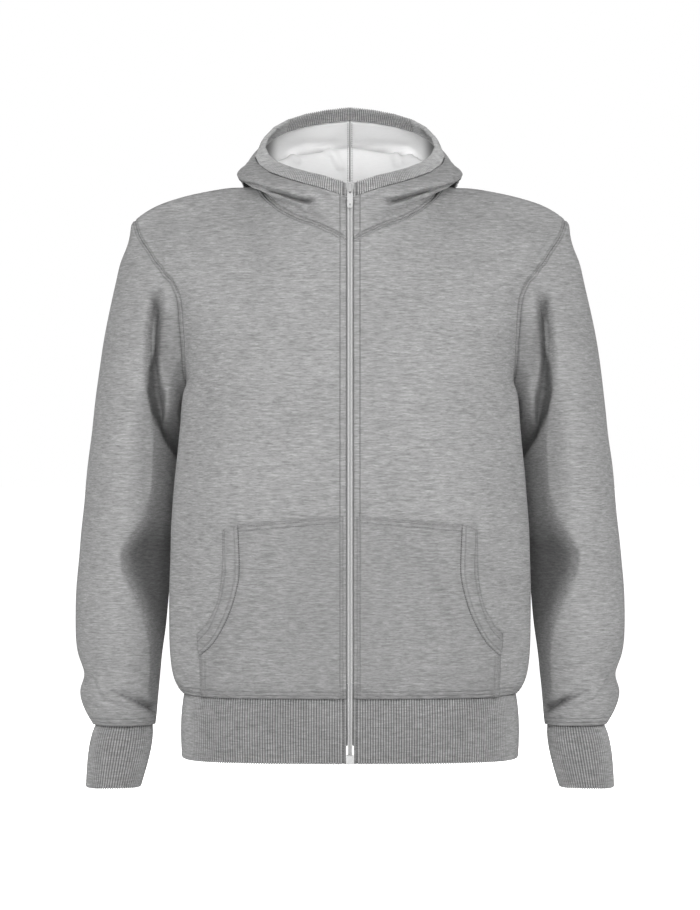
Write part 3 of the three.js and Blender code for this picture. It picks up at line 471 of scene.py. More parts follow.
def crease(
    points, depth, width, where, lip=0.0, fold=0.0, ends=(0.2, 0.2), back=False, push=None, one_side=0,
    lining=False,
):
    """A soft trough along a line, or a ridge where depth is negative. fold lets the cloth on
    the line's right-hand side lie that much lower, so that the left side overlaps it. lip
    raises the other side. All are in millimetres, and width too. lining is for what shows of
    the cloth's inside, through the hood's opening."""
    for side in (-1, 1) if one_side == 0 else (one_side,):
        line = np.array(points, dtype=float)
        unit = 0.001 if back else 1.0 / MM_PER_PIXEL
        line = line + chance.uniform(-1.3, 1.3, line.shape) * unit
        strength = chance.uniform(0.85, 1.12)
        if back:
            flat = np.column_stack((places[:, 0] * side, -places[:, 2]))
            seen = ramp(facings[:, 1], -0.05, 0.25)
        else:
            flat = half_picture(side)
            seen = ramp(facings[:, 1] if lining else -facings[:, 1], -0.05, 0.25)
        reach = max(width, 1.0) * 5 * unit
        lowest = line.min(axis=0) - reach
        highest = line.max(axis=0) + reach
        chosen = np.flatnonzero(
            where & (places[:, 0] * side > -0.004) & (seen > 0)
            & (flat > lowest).all(axis=1) & (flat < highest).all(axis=1)
        )
        if not len(chosen):
            continue
        gap, signed, travel = along_line(line, flat[chosen])
        gap = gap / unit
        signed = signed / unit
        fade = ramp(travel, 0.0, ends[0] + 1e-6) * ramp(1 - travel, 0.0, ends[1] + 1e-6)
        amount = -depth * np.exp(-((gap / width) ** 2))
        if fold:
            under = np.clip(signed, 0, None)
            amount -= fold * (1 - np.exp(-under / 1.6)) * np.exp(-((under / (2.2 * width)) ** 2))
        if lip:
            over = np.where(signed < 0, -signed, 0.0)
            amount += lip * np.exp(-(((over - 0.9 * width) / width) ** 2)) * (signed < 0)
        amount = amount * fade * seen[chosen] * strength * 0.001
        way = facings[chosen] if push is None else np.broadcast_to(np.array(push), (len(chosen), 3))
        moves[chosen] += way * amount[:, None]


# The long shaded side of each sleeve, where it turns in behind the body's edge. The tube is
# flattened there from in front, most along the forearm, and its inner edge nears the body.
sleeve_edge = np.array([
    (150, 288), (147, 310), (144, 335), (143.5, 360), (146, 385), (151, 412), (153, 440), (152, 470),
    (150, 495), (143, 516), (128, 537), (119, 553), (122, 573), (134, 597), (143, 617), (149, 642),
    (150, 668), (148, 690), (152, 716),
], dtype=float)
SLEEVE_TURN = 0.075
SLEEVE_VALLEY = 0.022
SLEEVE_NEARS_BODY = 0.0088
SLICE_HEIGHTS = np.linspace(-0.66, -0.1, 29)
slices = [places[on_sleeve & (np.abs(places[:, 2] - z) < 0.012), 1] for z in SLICE_HEIGHTS]
front_face = np.interp(places[:, 2], SLICE_HEIGHTS, [near.min() for near in slices])
depth_there = np.interp(places[:, 2], SLICE_HEIGHTS, [near.max() - near.min() for near in slices])
for side in (-1, 1):
    flat = half_picture(side)
    chosen = np.flatnonzero(on_sleeve & (places[:, 0] * side > 0) & (down_picture > 270))
    gap, signed, travel = along_line(sleeve_edge, flat[chosen])
    inner = np.clip(-signed, 0, None) * MM_PER_PIXEL
    height = down_picture[chosen]
    upper = ramp(height, 275, 320) * (1 - ramp(height, 405, 450))
    lower = ramp(height, 405, 450) * (1 - ramp(height, 685, 712))
    valley = SLEEVE_VALLEY * np.exp(-(((inner - 10.0) / 6.5) ** 2)) * (inner > 0)
    turned = SLEEVE_TURN * (1 - np.exp(-inner / 26.0))
    from_front = 1 - ramp((places[chosen, 1] - front_face[chosen]) / depth_there[chosen], 0.2, 0.95)
    turned = np.minimum(turned, 0.72 * depth_there[chosen])
    moves[chosen, 1] += (upper * valley + lower * turned) * from_front
    beside_body = ramp(height, 372, 398) * (1 - ramp(height, 440, 600))
    inward = np.exp(-((inner - 42.0) / 18.0) ** 2) * beside_body
    moves[chosen, 0] -= side * SLEEVE_NEARS_BODY * inward

# The body's long front fold, whose edge hides the sleeve's inner side
fold_strength = np.interp(
    down_picture, (300, 420, 475, 530, 575, 640, 690), (0.0, 0.0, 3.5, 5.0, 4.0, 2.0, 0.0),
)
fold_place = np.exp(-(((places[:, 1] + 0.048) / 0.02) ** 2)) * on_body * (np.abs(places[:, 0]) > 0.16)
moves[:, 0] += np.sign(places[:, 0]) * fold_strength * fold_place * 0.001

# The sleeve's own creases: beside the armhole, over the elbow and where it blouses on the cuff
crease([(147, 228), (156, 246), (162, 257), (168, 268)], 1.6, 4, on_sleeve | on_body, lip=1.2)
crease([(146, 282), (153, 300), (157, 322)], 3.0, 6, on_sleeve, ends=(0.4, 0.2))
crease(
    [(176, 466), (163, 442), (154, 426), (148, 400), (144, 378)], 0.0, 9, on_sleeve, fold=4.0, lip=1.0,
)
crease([(159, 714), (146, 707.5), (137, 702), (123.5, 695), (108, 687), (101, 678)],
       1.0, 3.5, on_sleeve, fold=6.0, lip=1.5, ends=(0.02, 0.35))
crease([(159, 713.5), (149, 709), (139, 703.5), (125, 696.5), (110, 689)],
       8.0, 2.4, on_sleeve, ends=(0.02, 0.6), push=(0.0, -1.0, 0.0))
crease([(159, 711), (149, 706), (141, 701), (134, 697)], 6.0, 4, on_sleeve, ends=(0.02, 0.6))
crease([(86, 673), (93, 679), (97, 689), (104, 699), (114, 704), (129, 706), (142, 704)],
       2.6, 3, on_sleeve, lip=1.6, ends=(0.1, 0.4))
crease([(100, 655), (118, 668), (138, 672), (150, 668)], 1.4, 7, on_sleeve)
crease([(95, 600), (110, 612), (128, 612)], 0.8, 8, on_sleeve)
crease([(100, 520), (112, 532), (122, 550)], 0.9, 8, on_sleeve)
crease([(100, 470), (120, 476), (140, 470)], 0.6, 9, on_sleeve)
crease([(110, 385), (128, 392), (142, 388)], 0.6, 9, on_sleeve)
crease([(118, 300), (132, 312), (146, 330)], 0.7, 8, on_sleeve)

# The sleeve's deep folds and its forearm's inner side are darkened with painted shade, most
# between the plies, because little light gets in there
painted_ply_shade = np.zeros(count)
under_fold = [
    (146, 285), (153, 303), (156, 322), (155, 347), (149.5, 369), (149.5, 391), (154, 414),
    (163, 437), (178, 467),
]
wrist_fold = [(159, 713.5), (149, 709), (139, 703.5), (125, 696.5), (110, 689)]
for side in (-1, 1):
    flat = half_picture(side)
    chosen = np.flatnonzero(
        on_sleeve & (places[:, 0] * side > 0) & (down_picture > 270) & (facings[:, 1] < 0.3)
    )
    height = down_picture[chosen]
    for line, inward_reach, outward_reach, inward_sign, heights, depths in (
        (under_fold, 9.0, 2.0, -1, (280, 320, 400, 430, 466, 476), (0.15, 0.78, 0.88, 1.0, 1.0, 0.5)),
        (wrist_fold, 1.6, 1.6, 1, (688, 700, 713), (0.2, 0.6, 0.8)),
    ):
        gap, signed, travel = along_line(np.array(line, dtype=float), flat[chosen])
        reach = np.where(signed * inward_sign > 0, inward_reach, outward_reach)
        fade = ramp(travel, 0.0, 0.12) * ramp(1 - travel, -0.02, 0.04)
        dark = np.interp(height, heights, depths) * np.exp(-((gap / reach) ** 2)) * fade
        painted_ply_shade[chosen] = np.maximum(painted_ply_shade[chosen], dark)
    gap, signed, travel = along_line(sleeve_edge, flat[chosen])
    inner = np.clip(-signed, 0, None)
    forearm = np.interp(
        height, (490, 520, 545, 610, 650, 690), (0.0, 0.2, 0.6, 0.5, 0.12, 0.0),
    ) * ramp(inner, 0, 14)
    painted_ply_shade[chosen] = np.maximum(painted_ply_shade[chosen], forearm)

# Painted shade darkens the white inside at the two sides of the hood's opening, where it also turns
# away, out of the light
inside_shows = on_hood * (facings[:, 1] > -0.2)
painted_opening_shade = ramp(np.abs(across_picture - PICTURE_WIDTH / 2), 71, 85) * inside_shows
painted_opening_shade *= ramp(down_picture, 128, 136) * (1 - ramp(down_picture, 160, 172))

# The body's soft drapes: from the shoulder to the chest, from the underarm, and round the pockets
crease([(174, 200), (180, 220), (186, 240), (197, 263), (210, 282)], 2.2, 9, on_body, ends=(0.3, 0.4))
crease([(160, 222), (170, 238), (177, 256)], -1.4, 6, on_body)
crease([(222, 200), (228, 214), (240, 230)], 1.2, 9, on_body)
crease([(184, 330), (200, 322), (222, 322)], 0.8, 12, on_body)
crease([(182, 420), (205, 430), (232, 428)], 0.7, 12, on_body)
crease([(184, 530), (202, 540), (216, 556)], 1.8, 12, on_body)
crease([(184, 600), (192, 622), (196, 644)], 1.4, 9, on_body)
crease([(216, 690), (222, 674), (232, 660)], -1.6, 9, on_body)
crease([(181, 700), (190, 684), (206, 676)], 1.2, 8, on_body)
crease([(240, 380), (262, 392), (290, 388)], 0.5, 14, on_body)
crease([(262, 470), (292, 480), (322, 474)], 0.4, 14, on_body)
crease([(252, 250), (280, 262), (312, 262)], 0.5, 12, on_body)

# The hood in front: its fullness hangs over the neck seam in a folded edge, and a short
# crease runs down to the zip
crease([(236, 182), (246, 182), (259, 185), (282, 189.5), (296, 194.5), (307, 197), (318, 195.5)],
       0.0, 5, on_hood, fold=4.5, lip=1.5, ends=(0.05, 0.15))
crease([(264, 187), (282, 190), (296, 195), (307, 197.5), (318, 195.5)],
       0.0, 5, on_hood, fold=5.0, ends=(0.35, 0.15), push=(0.0, -1.0, 0.0))
crease([(254, 187.5), (268, 191.5), (282, 195), (296, 199), (308, 201), (319, 199.5)],
       11.0, 2.6, on_hood, ends=(0.3, 0.25), push=(0.0, -1.0, 0.0))
crease([(317, 188), (324, 194), (331, 200)], 3.2, 2.2, on_hood, push=(0.0, -1.0, 0.0))
crease([(268, 192), (285, 203), (303, 212), (322, 217)], 1.2, 5, on_hood)

# The hood's white inside: the roll over the fold behind the neck, and the slack below it
crease([(283, 150), (294, 146), (307, 143.5), (326, 144.5), (345, 145)], -1.7, 4, on_hood, lining=True)
crease([(287, 152), (291, 158), (300, 164)], 4.0, 3.5, on_hood, lining=True)
crease([(322, 150), (334, 156), (340, 164), (345, 172)], 4.5, 3.5, on_hood, lining=True, one_side=-1)
crease([(281, 160), (289, 154), (297, 150)], 4.0, 4, on_hood, lining=True, one_side=1)
crease([(306, 150), (303, 158), (300, 168)], 4.0, 3.5, on_hood, lining=True, one_side=1)

# The back: soft drapes from the shoulder blades and the underarms, and level ones over the hem
crease([(0.16, 0.05), (0.13, 0.12), (0.08, 0.19)], 1.8, 14, on_body, back=True, ends=(0.4, 0.4))
crease([(0.19, 0.24), (0.14, 0.27), (0.08, 0.28)], 1.6, 14, on_body, back=True, ends=(0.3, 0.5))
crease([(0.195, 0.31), (0.15, 0.36), (0.10, 0.385)], 1.3, 15, on_body, back=True, ends=(0.3, 0.5))
crease([(0.19, 0.47), (0.15, 0.5), (0.09, 0.505)], 1.2, 15, on_body, back=True, ends=(0.3, 0.5))
crease([(0.18, 0.585), (0.11, 0.592), (0.04, 0.588)], 1.6, 9, on_body, back=True)
crease([(0.03, 0.56), (0.08, 0.553), (0.13, 0.56)], 1.0, 10, on_body, back=True)
crease([(0.0, 0.13), (0.0, 0.2), (0.0, 0.3)], 1.0, 22, on_body, back=True, one_side=1)
crease([(0.30, 0.33), (0.265, 0.36), (0.235, 0.37)], 1.6, 10, on_sleeve, back=True)
crease([(0.315, 0.43), (0.275, 0.45), (0.24, 0.445)], 1.8, 9, on_sleeve, back=True)
crease([(0.31, 0.475), (0.28, 0.495), (0.25, 0.492)], 1.6, 9, on_sleeve, back=True)
crease([(0.30, 0.54), (0.275, 0.56), (0.25, 0.558)], 1.3, 9, on_sleeve, back=True)
crease([(0.315, 0.605), (0.28, 0.622), (0.25, 0.628)], 3.0, 6, on_sleeve, lip=1.2, back=True)
crease([(0.30, 0.637), (0.27, 0.645), (0.245, 0.642)], 2.4, 5, on_sleeve, back=True)

# A slow unevenness over all the cloth, and the pull of each seam: a groove along the join and
# a low ridge beside it, where the seam's allowances lie under the cloth
edge_ends = np.empty(len(smooth_mesh.edges) * 2, dtype=np.int32)
smooth_mesh.edges.foreach_get("vertices", edge_ends)
edge_ends = edge_ends.reshape(-1, 2)
on_seam = on_panel.sum(axis=0) > 1
seam_edges = places[edge_ends[on_seam[edge_ends].all(axis=1)]]
STEPS_PER_EDGE = 8
seam_places = np.concatenate([
    seam_edges[:, 0] * (1 - step / STEPS_PER_EDGE) + seam_edges[:, 1] * step / STEPS_PER_EDGE
    for step in range(STEPS_PER_EDGE)
])
seam_tree = KDTree(len(seam_places))
for index, point in enumerate(seam_places):
    seam_tree.insert(point, index)
seam_tree.balance()
to_seam = np.array([seam_tree.find(point)[2] for point in places]) * 1000
uneven = np.array([
    noise.noise(Vector(point) * 9.0) + 0.5 * noise.noise(Vector(point) * 21.0 + Vector((4.0, 1.0, 7.0)))
    for point in places
])
seam_groove = np.exp(-((to_seam / 1.5) ** 2))
seam_ridge = np.exp(-(((to_seam - 5.0) / 3.0) ** 2))
swell = uneven * 0.9 - 1.0 * seam_groove + 0.45 * seam_ridge
moves += facings * swell[:, None] * 0.001
final_places = places + moves
smooth_mesh.vertices.foreach_set("co", final_places.ravel())
smooth_mesh.update()

# How far each place is from the seams, from the hem or cuff and from the zip, for the grooves
# that the stitches pull, and how much painted shade each place gets
HEM_SEAM_HEIGHT = -0.6197
sleeve_foot = places[on_sleeve, 2].min()
foot = np.where(on_sleeve, sleeve_foot, HEM_SEAM_HEIGHT)
# Painted shade darkens the hood's white inside below the roll behind the neck, where more light falls on
# it
neck_roll = 146.5 + 12.5 * ((across_picture - PICTURE_WIDTH / 2) / 70) ** 2
painted_neck_shade = ramp(down_picture - neck_roll, -1.0, 2.5) * inside_shows
near_zip = on_panel[0] | on_panel[1] | (on_hood & (places[:, 1] < -0.06))
for label, reach in (
    ("seam", to_seam / 1000),
    ("hem", np.where(on_hood, 1.0, places[:, 2] - foot)),
    ("zip", np.where(near_zip, np.abs(places[:, 0]), 1.0)),
    ("painted_ply_shade", painted_ply_shade),
    ("painted_neck_shade", painted_neck_shade),
    ("painted_opening_shade", painted_opening_shade),
):
    smooth_mesh.attributes.new(label, "FLOAT", "POINT").data.foreach_set("value", reach)

surfaces = {}
for number, panel in enumerate(PANELS):
    part = bmesh.new()
    part.from_mesh(smooth_mesh)
    bmesh.ops.delete(part, geom=[f for f in part.faces if f.material_index != number], context="FACES")
    for face in part.faces:
        face.material_index = 0
        face.smooth = True
    surfaces[panel] = BVHTree.FromBMesh(part)
    part_mesh = bpy.data.meshes.new(panel + "_cloth")
    part.to_mesh(part_mesh)
    part.free()
    piece = new_piece(panel + "_cloth", part_mesh, fleece_face, brushed_inside)
    wall = piece.modifiers.new("thickness", "SOLIDIFY")
    wall.thickness = CLOTH_THICKNESS
    wall.offset = -1.0
    wall.material_offset = 1
    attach(piece, "garment")
    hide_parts(panel)

# The rib knit: the hem band, the two cuffs and the binding round the hood's free edge. Each
# is one strip of rib folded double along its free edge, a shade darker than the fleece, and
# its ribs run across the strip, inside as well as outside.
def rib_material(name, ground, pale_fibre, dark_fibre):
    """Knitted cloth with painted shade that darkens it into the furrows between its ribs."""
    made = cloth_material(name, ground, pale_fibre, dark_fibre, 0.5)
    tree = made.node_tree
    base = tree.nodes["Principled BSDF"].inputs["Base Color"]
    place = add_node(tree, "ShaderNodeAttribute", {"attribute_name": "rib"})
    shade = add_node(
        tree, "ShaderNodeMapRange", {"interpolation_type": "SMOOTHSTEP"},
        Value=place.outputs["Fac"], i1=-1.0, i2=0.2, i3=0.36, i4=1.0,
    )
    colour = add_node(
        tree, "ShaderNodeVectorMath", {"operation": "SCALE"},
        i0=base.links[0].from_socket, Scale=shade.outputs[0],
    )
    tree.links.new(colour.outputs[0], base)
    return made


rib_knit = rib_material("rib_knit", (0.29, 0.29, 0.29), (0.418, 0.418, 0.418), (0.176, 0.176, 0.176))
binding_knit = rib_material(
    "binding_knit", (0.375, 0.375, 0.375), (0.515, 0.515, 0.515), (0.245, 0.245, 0.245),
)
RIB_DEPTH = 0.0008
CAD_RIB_DEPTH = 0.00045
RIB_WIDTH_LIMIT = 0.0023
PLAIN_ENDS = (0.00425, 0.0048)
RIB_SEGMENTS = 3
FOLD_TURNS = 4
INSIDE_ROWS = 3


def rib_strip(node, height, rows):
    """The outer face of a ribbed solid. rib is each point's place on its rib, from -1 in a
    furrow to 1 on a crest, rise its place across the strip, from 0 at the sewn edge to 1 at
    the free edge, and facing and across are the strip's own directions there."""
    strip = merged_copy(node)
    rib = strip.verts.layers.float.new("rib")
    rise = strip.verts.layers.float.new("rise")
    facing = strip.verts.layers.float_vector.new("facing")
    across = strip.verts.layers.float_vector.new("across")
    kept = set()
    for face in strip.faces:
        shortest = min(e.calc_length() for e in face.edges)
        narrow = shortest < RIB_WIDTH_LIMIT or PLAIN_ENDS[0] < shortest < PLAIN_ENDS[1]
        if narrow and 2 * face.calc_area() / shortest > 0.7 * height:
            kept.add(face)
    waiting = [max(kept, key=lambda f: -f.calc_center_median().y)]
    joined = set(waiting)
    while waiting:
        for edge in waiting.pop().edges:
            if edge.calc_length() > 0.7 * height:
                beside = [f for f in edge.link_faces if f in kept and f not in joined]
                joined.update(beside)
                waiting.extend(beside)
    bmesh.ops.delete(strip, geom=[f for f in strip.faces if f not in joined], context="FACES")
    bmesh.ops.join_triangles(
        strip, faces=strip.faces, angle_face_threshold=math.radians(28), angle_shape_threshold=math.pi,
    )
    strip.normal_update()
    upright = [e for e in strip.edges if e.calc_length() > 0.7 * height]
    free_is_high = node == "hood_binding"
    for edge in upright:
        low, high = sorted(edge.verts, key=lambda v: v.co.z)
        sewn, free = (low, high) if free_is_high else (high, low)
        ribbed = len(edge.link_faces) == 2 and edge.calc_face_angle() > 0.3
        for vert in edge.verts:
            vert[rib] = 0.0 if not ribbed else 1.0 if edge.is_convex else -1.0
            vert[facing] = vert.normal
            vert[across] = (free.co - sewn.co).normalized()
        free[rise] = 1.0
        sewn[rise] = 0.0
    upright = set(upright)
    level = [e for e in strip.edges if e not in upright]
    bmesh.ops.subdivide_edges(strip, edges=level, cuts=RIB_SEGMENTS - 1, use_grid_fill=True)
    upright = [e for e in strip.edges if e.calc_length() > 0.7 * height]
    bmesh.ops.subdivide_edges(strip, edges=upright, cuts=rows - 1, use_grid_fill=True)
    return strip, rib, rise, facing, across


def rib_band(name, node, height, rows, thickness, swell, knit=rib_knit):
    """A rib strip of a flat size, folded double along its free edge. swell is how far the cloth
    stands out between its two edges, at a place from 0 to 1 across it."""
    strip, rib, rise, facing, across = rib_strip(node, height, rows)
    foot = strip.verts.layers.float_vector.new("foot")
    radius = thickness / 2
    for vert in strip.verts:
        out = vert[facing].normalized()
        middle = vert.co - out * (CAD_RIB_DEPTH * vert[rib])
        middle -= vert[across] * (radius * vert[rise])
        middle += out * swell(vert[rise], middle)
        vert[foot] = middle
        vert.co = middle + out * (RIB_DEPTH * math.sin(vert[rib] * math.pi / 2))
    edge_row = [e for e in strip.edges if e.is_boundary and all(v[rise] > 0.999 for v in e.verts)]
    for turn in range(1, FOLD_TURNS + INSIDE_ROWS + 1):
        made = bmesh.ops.extrude_edge_only(strip, edges=edge_row)["geom"]
        edge_row = [item for item in made if isinstance(item, bmesh.types.BMEdge)]
        angle = math.pi * min(turn, FOLD_TURNS) / FOLD_TURNS
        back = max(turn - FOLD_TURNS, 0) / INSIDE_ROWS
        for vert in (item for item in made if isinstance(item, bmesh.types.BMVert)):
            out = vert[facing].normalized()
            ahead = Vector(vert[across])
            centre = vert[foot] - out * radius
            spoke = out * math.cos(angle) + ahead * math.sin(angle)
            bump = RIB_DEPTH * math.sin(vert[rib] * math.pi / 2)
            sink = out * (swell(1 - back, vert[foot]) - swell(1.0, vert[foot]))
            vert.co = centre + spoke * (radius + bump) - ahead * (back * (height - radius)) + sink
    bmesh.ops.recalc_face_normals(strip, faces=strip.faces)
    for face in strip.faces:
        face.smooth = True
    surfaces[name] = BVHTree.FromBMesh(strip)
    mesh = bpy.data.meshes.new(name)
    strip.to_mesh(mesh)
    strip.free()
    piece = new_piece(name, mesh, knit)
    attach(piece, "garment")
    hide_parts(node)
    return piece


rib_band(
    "hem_band", "hem_rib", 0.0777, 8, 0.003,
    lambda rise, at: 0.002 * math.sin(math.pi * rise) - 0.0012 * (1 - rise) ** 6,
)
for side in ("right", "left"):
    rib_band(
        "cuff_band_" + side, "cuff_" + side, 0.0757, 8, 0.003,
        lambda rise, at: 0.0025 * math.sin(math.pi * rise ** 0.8) - 0.002 * (1 - rise) ** 6,
    )
rib_band(
    "binding_band", "hood_binding", 0.0163, 4, 0.004,
    lambda rise, at: 0.0008 * math.sin(math.pi * rise),
    binding_knit,
)

# The two front pockets, single panels of the same fleece. Each is turned and topstitched
# along its top, caught in the zip's seam and the hem, and bound along the hand opening with
# a separate strip of cloth that runs down to the side.
POCKET_TOP_ROWS = (0.0022, 0.0072)
POCKET_SIDE_ROWS = (0.002, 0.0068)
# Both are the face fleece with a darker ground, which is painted shade over the lower front
pocket_fleece = cloth_material(
    "pocket_fleece", (0.235, 0.235, 0.235), (0.352, 0.352, 0.352), (0.147, 0.147, 0.147), 0.5,
    rows=(
        ("top", POCKET_TOP_ROWS[0]), ("top", POCKET_TOP_ROWS[1]), ("zip", ZIP_TO_STITCH),
        ("side", POCKET_SIDE_ROWS[0]), ("side", POCKET_SIDE_ROWS[1]),
        ("hem", HEM_TO_STITCHES[0]), ("hem", HEM_TO_STITCHES[1]),
    ),
)
strip_fleece = cloth_material(
    "strip_fleece", (0.236, 0.236, 0.236), (0.353, 0.353, 0.353), (0.148, 0.148, 0.148), 0.5,
    rows=(("join", 0.0045), ("join", 0.0165)),
)
POCKET_INNER = 0.0085
POCKET_TOP = ((0.0085, -0.404), (0.1325, -0.415))
POCKET_SEAM = (
    (0.1325, -0.415), (0.1305, -0.465), (0.1335, -0.49), (0.143, -0.521), (0.16, -0.553),
    (0.178, -0.571),
)
POCKET_OPENING = ((0.15, -0.421), (0.15, -0.465), (0.155, -0.503), (0.168, -0.531), (0.181, -0.545))
POCKET_FOOT = (0.177, -0.625)
POCKET_THICKNESS = 0.0018


def smooth_line(points, steps):
    """Evenly spaced points on a smooth curve through a few given ones."""
    given = [Vector(p) for p in points]
    given = [2 * given[0] - given[1], *given, 2 * given[-1] - given[-2]]
    dense = []
    for p0, p1, p2, p3 in zip(given, given[1:], given[2:], given[3:]):
        for step in range(40):
            t = step / 40
            dense.append(0.5 * (
                2 * p1 + (p2 - p0) * t + (2 * p0 - 5 * p1 + 4 * p2 - p3) * t * t
                + (3 * p1 - p0 - 3 * p2 + p3) * t ** 3
            ))
    dense.append(given[-2])
    reach = np.concatenate(([0.0], np.cumsum([(b - a).length for a, b in zip(dense, dense[1:])])))
    flat = np.array([tuple(p) for p in dense])
    wanted = np.linspace(0.0, reach[-1], steps + 1)
    return [Vector(row) for row in zip(*(np.interp(wanted, reach, column) for column in flat.T))]


pocket_edge = smooth_line(POCKET_SEAM, 60)
edge_heights = [p.y for p in reversed(pocket_edge)]
edge_reaches = [p.x for p in reversed(pocket_edge)]
edge_heights.insert(0, POCKET_FOOT[1])
edge_reaches.insert(0, POCKET_FOOT[0])


def on_front(side, x, z, lift):
    """The point over a front at a place seen from straight ahead, lifted off the cloth."""
    front = surfaces["front_right" if side > 0 else "front_left"]
    place, direction, _, _ = front.ray_cast(Vector((side * x, -1.0, z)), Vector((0.0, 1.0, 0.0)))
    if place is None:
        place, direction, _, _ = front.find_nearest(Vector((side * x, -0.1, z)))
    if direction.y > 0:
        direction = -direction
    return place + direction * lift


def thickened(name, shape, thickness, node, materials):
    """A cloth piece from its outer face."""
    bmesh.ops.recalc_face_normals(shape, faces=shape.faces)
    middle = sum((f.normal.y for f in shape.faces))
    if middle > 0:
        bmesh.ops.reverse_faces(shape, faces=shape.faces)
    for face in shape.faces:
        face.smooth = True
    mesh = bpy.data.meshes.new(name)
    shape.to_mesh(mesh)
    shape.free()
    piece = new_piece(name, mesh, *materials)
    wall = piece.modifiers.new("thickness", "SOLIDIFY")
    wall.thickness = thickness
    wall.offset = -1.0
    wall.material_offset = 1
    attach(piece, "garment")
    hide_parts(node)
    return piece


def pressed(u, v):
    """How near a place is to the sewn edges of a pocket, from 0 inside to 1 on an edge."""
    near = min(u * 0.16, v * 0.2, (1 - v) * 0.2, (1 - u) * 0.16)
    return math.exp(-((near / 0.006) ** 2))


for side, suffix in ((1, "right"), (-1, "left")):
    panel = bmesh.new()
    bmesh.ops.create_grid(panel, x_segments=64, y_segments=84, size=0.5)
    reach_top = panel.verts.layers.float.new("top")
    reach_side = panel.verts.layers.float.new("side")
    reach_zip = panel.verts.layers.float.new("zip")
    reach_hem = panel.verts.layers.float.new("hem")
    for vert in panel.verts:
        u = vert.co.x + 0.5
        v = vert.co.y + 0.5
        x = 0.1
        z = -0.5
        for _ in range(6):
            share = (x - POCKET_INNER) / (POCKET_TOP[1][0] - POCKET_INNER)
            top = POCKET_TOP[0][1] + (POCKET_TOP[1][1] - POCKET_TOP[0][1]) * min(share, 1.0)
            z = HEM_SEAM_HEIGHT + (top - HEM_SEAM_HEIGHT) * v
            outer_x = float(np.interp(z, edge_heights, edge_reaches))
            x = POCKET_INNER + (outer_x - POCKET_INNER) * u
        lift = 0.0003 + POCKET_THICKNESS + 0.0012 * (1 - pressed(u, v))
        vert[reach_top] = top - z
        vert[reach_side] = outer_x - x if z < -0.57 else 1.0
        vert[reach_zip] = x
        vert[reach_hem] = z - HEM_SEAM_HEIGHT
        vert.co = on_front(side, x, z, lift)
    surfaces["pocket_" + suffix] = BVHTree.FromBMesh(panel)
    thickened(
        "pocket_panel_" + suffix, panel, POCKET_THICKNESS, "pocket_" + suffix,
        (pocket_fleece, brushed_inside),
    )
    strip = bmesh.new()
    bmesh.ops.create_grid(strip, x_segments=8, y_segments=60, size=0.5)
    reach_join = strip.verts.layers.float.new("join")
    seam_points = smooth_line(POCKET_SEAM, 60)
    opening_points = smooth_line(POCKET_OPENING, 60)
    for vert in strip.verts:
        u = vert.co.x + 0.5
        row = round((vert.co.y + 0.5) * 60)
        at = seam_points[row].lerp(opening_points[row], u)
        crown = math.sin(math.pi * min(1.0, u * 1.1)) + u * math.sin(math.pi * row / 60)
        lift = 0.0026 + 0.0012 * crown
        vert[reach_join] = (at - seam_points[row]).length
        vert.co = on_front(side, at.x, at.y, lift)
    surfaces["strip_" + suffix] = BVHTree.FromBMesh(strip)
    thickened(
        "pocket_strip_" + suffix, strip, 0.0022, "pocket_band_" + suffix,
        (strip_fleece, brushed_inside),
    )

# The sewing: overlocked seams held down by a row of stitches on each side, topstitched edges,
# and a dark chain stitch where each pocket's strip is joined on. Each stitch is a short
# rounded thread that lies on the cloth.
STITCH_PITCH = 0.003
STITCH_LENGTH = 0.0022
THREAD = 0.0007


def thread_material(name, shade):
    """Spun polyester thread."""
    made = bpy.data.materials.new(name)
    made.use_nodes = True
    tree = made.node_tree
    place = add_node(tree, "ShaderNodeTexCoord").outputs["Object"]
    twist = add_node(tree, "ShaderNodeTexNoise", Vector=place, Scale=1500.0, Detail=1.0)
    tone = add_node(tree, "ShaderNodeMapRange", Value=twist.outputs[0], i1=0.3, i2=0.7, i3=0.8, i4=1.2)
    colour = add_node(
        tree, "ShaderNodeVectorMath", {"operation": "SCALE"}, i0=(shade, shade, shade),
        Scale=tone.outputs[0],
    )
    surface = tree.nodes["Principled BSDF"]
    tree.links.new(colour.outputs[0], surface.inputs["Base Color"])
    surface.inputs["Roughness"].default_value = 0.6
    surface.inputs["Sheen Weight"].default_value = 0.2
    return made


grey_thread = thread_material("grey_thread", 0.2)
dark_thread = thread_material("dark_thread", 0.05)


def seam_line(shared):
    """The places along a seam, in order, from the vertices that its panels share."""
    beside = {}
    for start, end in edge_ends[shared[edge_ends].all(axis=1)].tolist():
        beside.setdefault(start, []).append(end)
        beside.setdefault(end, []).append(start)
    ends = [v for v, others in beside.items() if len(others) == 1]
    here = min(ends or beside)
    walk = [here]
    passed = {here}
    while True:
        onward = [v for v in beside[here] if v not in passed]
        if not onward:
            break
        here = onward[0]
        passed.add(here)
        walk.append(here)
    if not ends:
        walk.append(walk[0])
    return final_places[walk]


def even_steps(points, pitch):
    """Points at an even pitch along a line."""
    points = np.asarray([tuple(p) for p in points])
    reach = np.concatenate(([0.0], np.cumsum(np.linalg.norm(np.diff(points, axis=0), axis=1))))
    wanted = np.linspace(0.0, reach[-1], max(int(reach[-1] / pitch), 2))
    return [Vector(row) for row in zip(*(np.interp(wanted, reach, column) for column in points.T))]


def nearest(panels, point):
    """The nearest place and facing on any of several surfaces."""
    found = (surfaces[panel].find_nearest(point) for panel in panels)
    place, facing, _, _ = min(found, key=lambda hit: hit[3])
    return place, facing


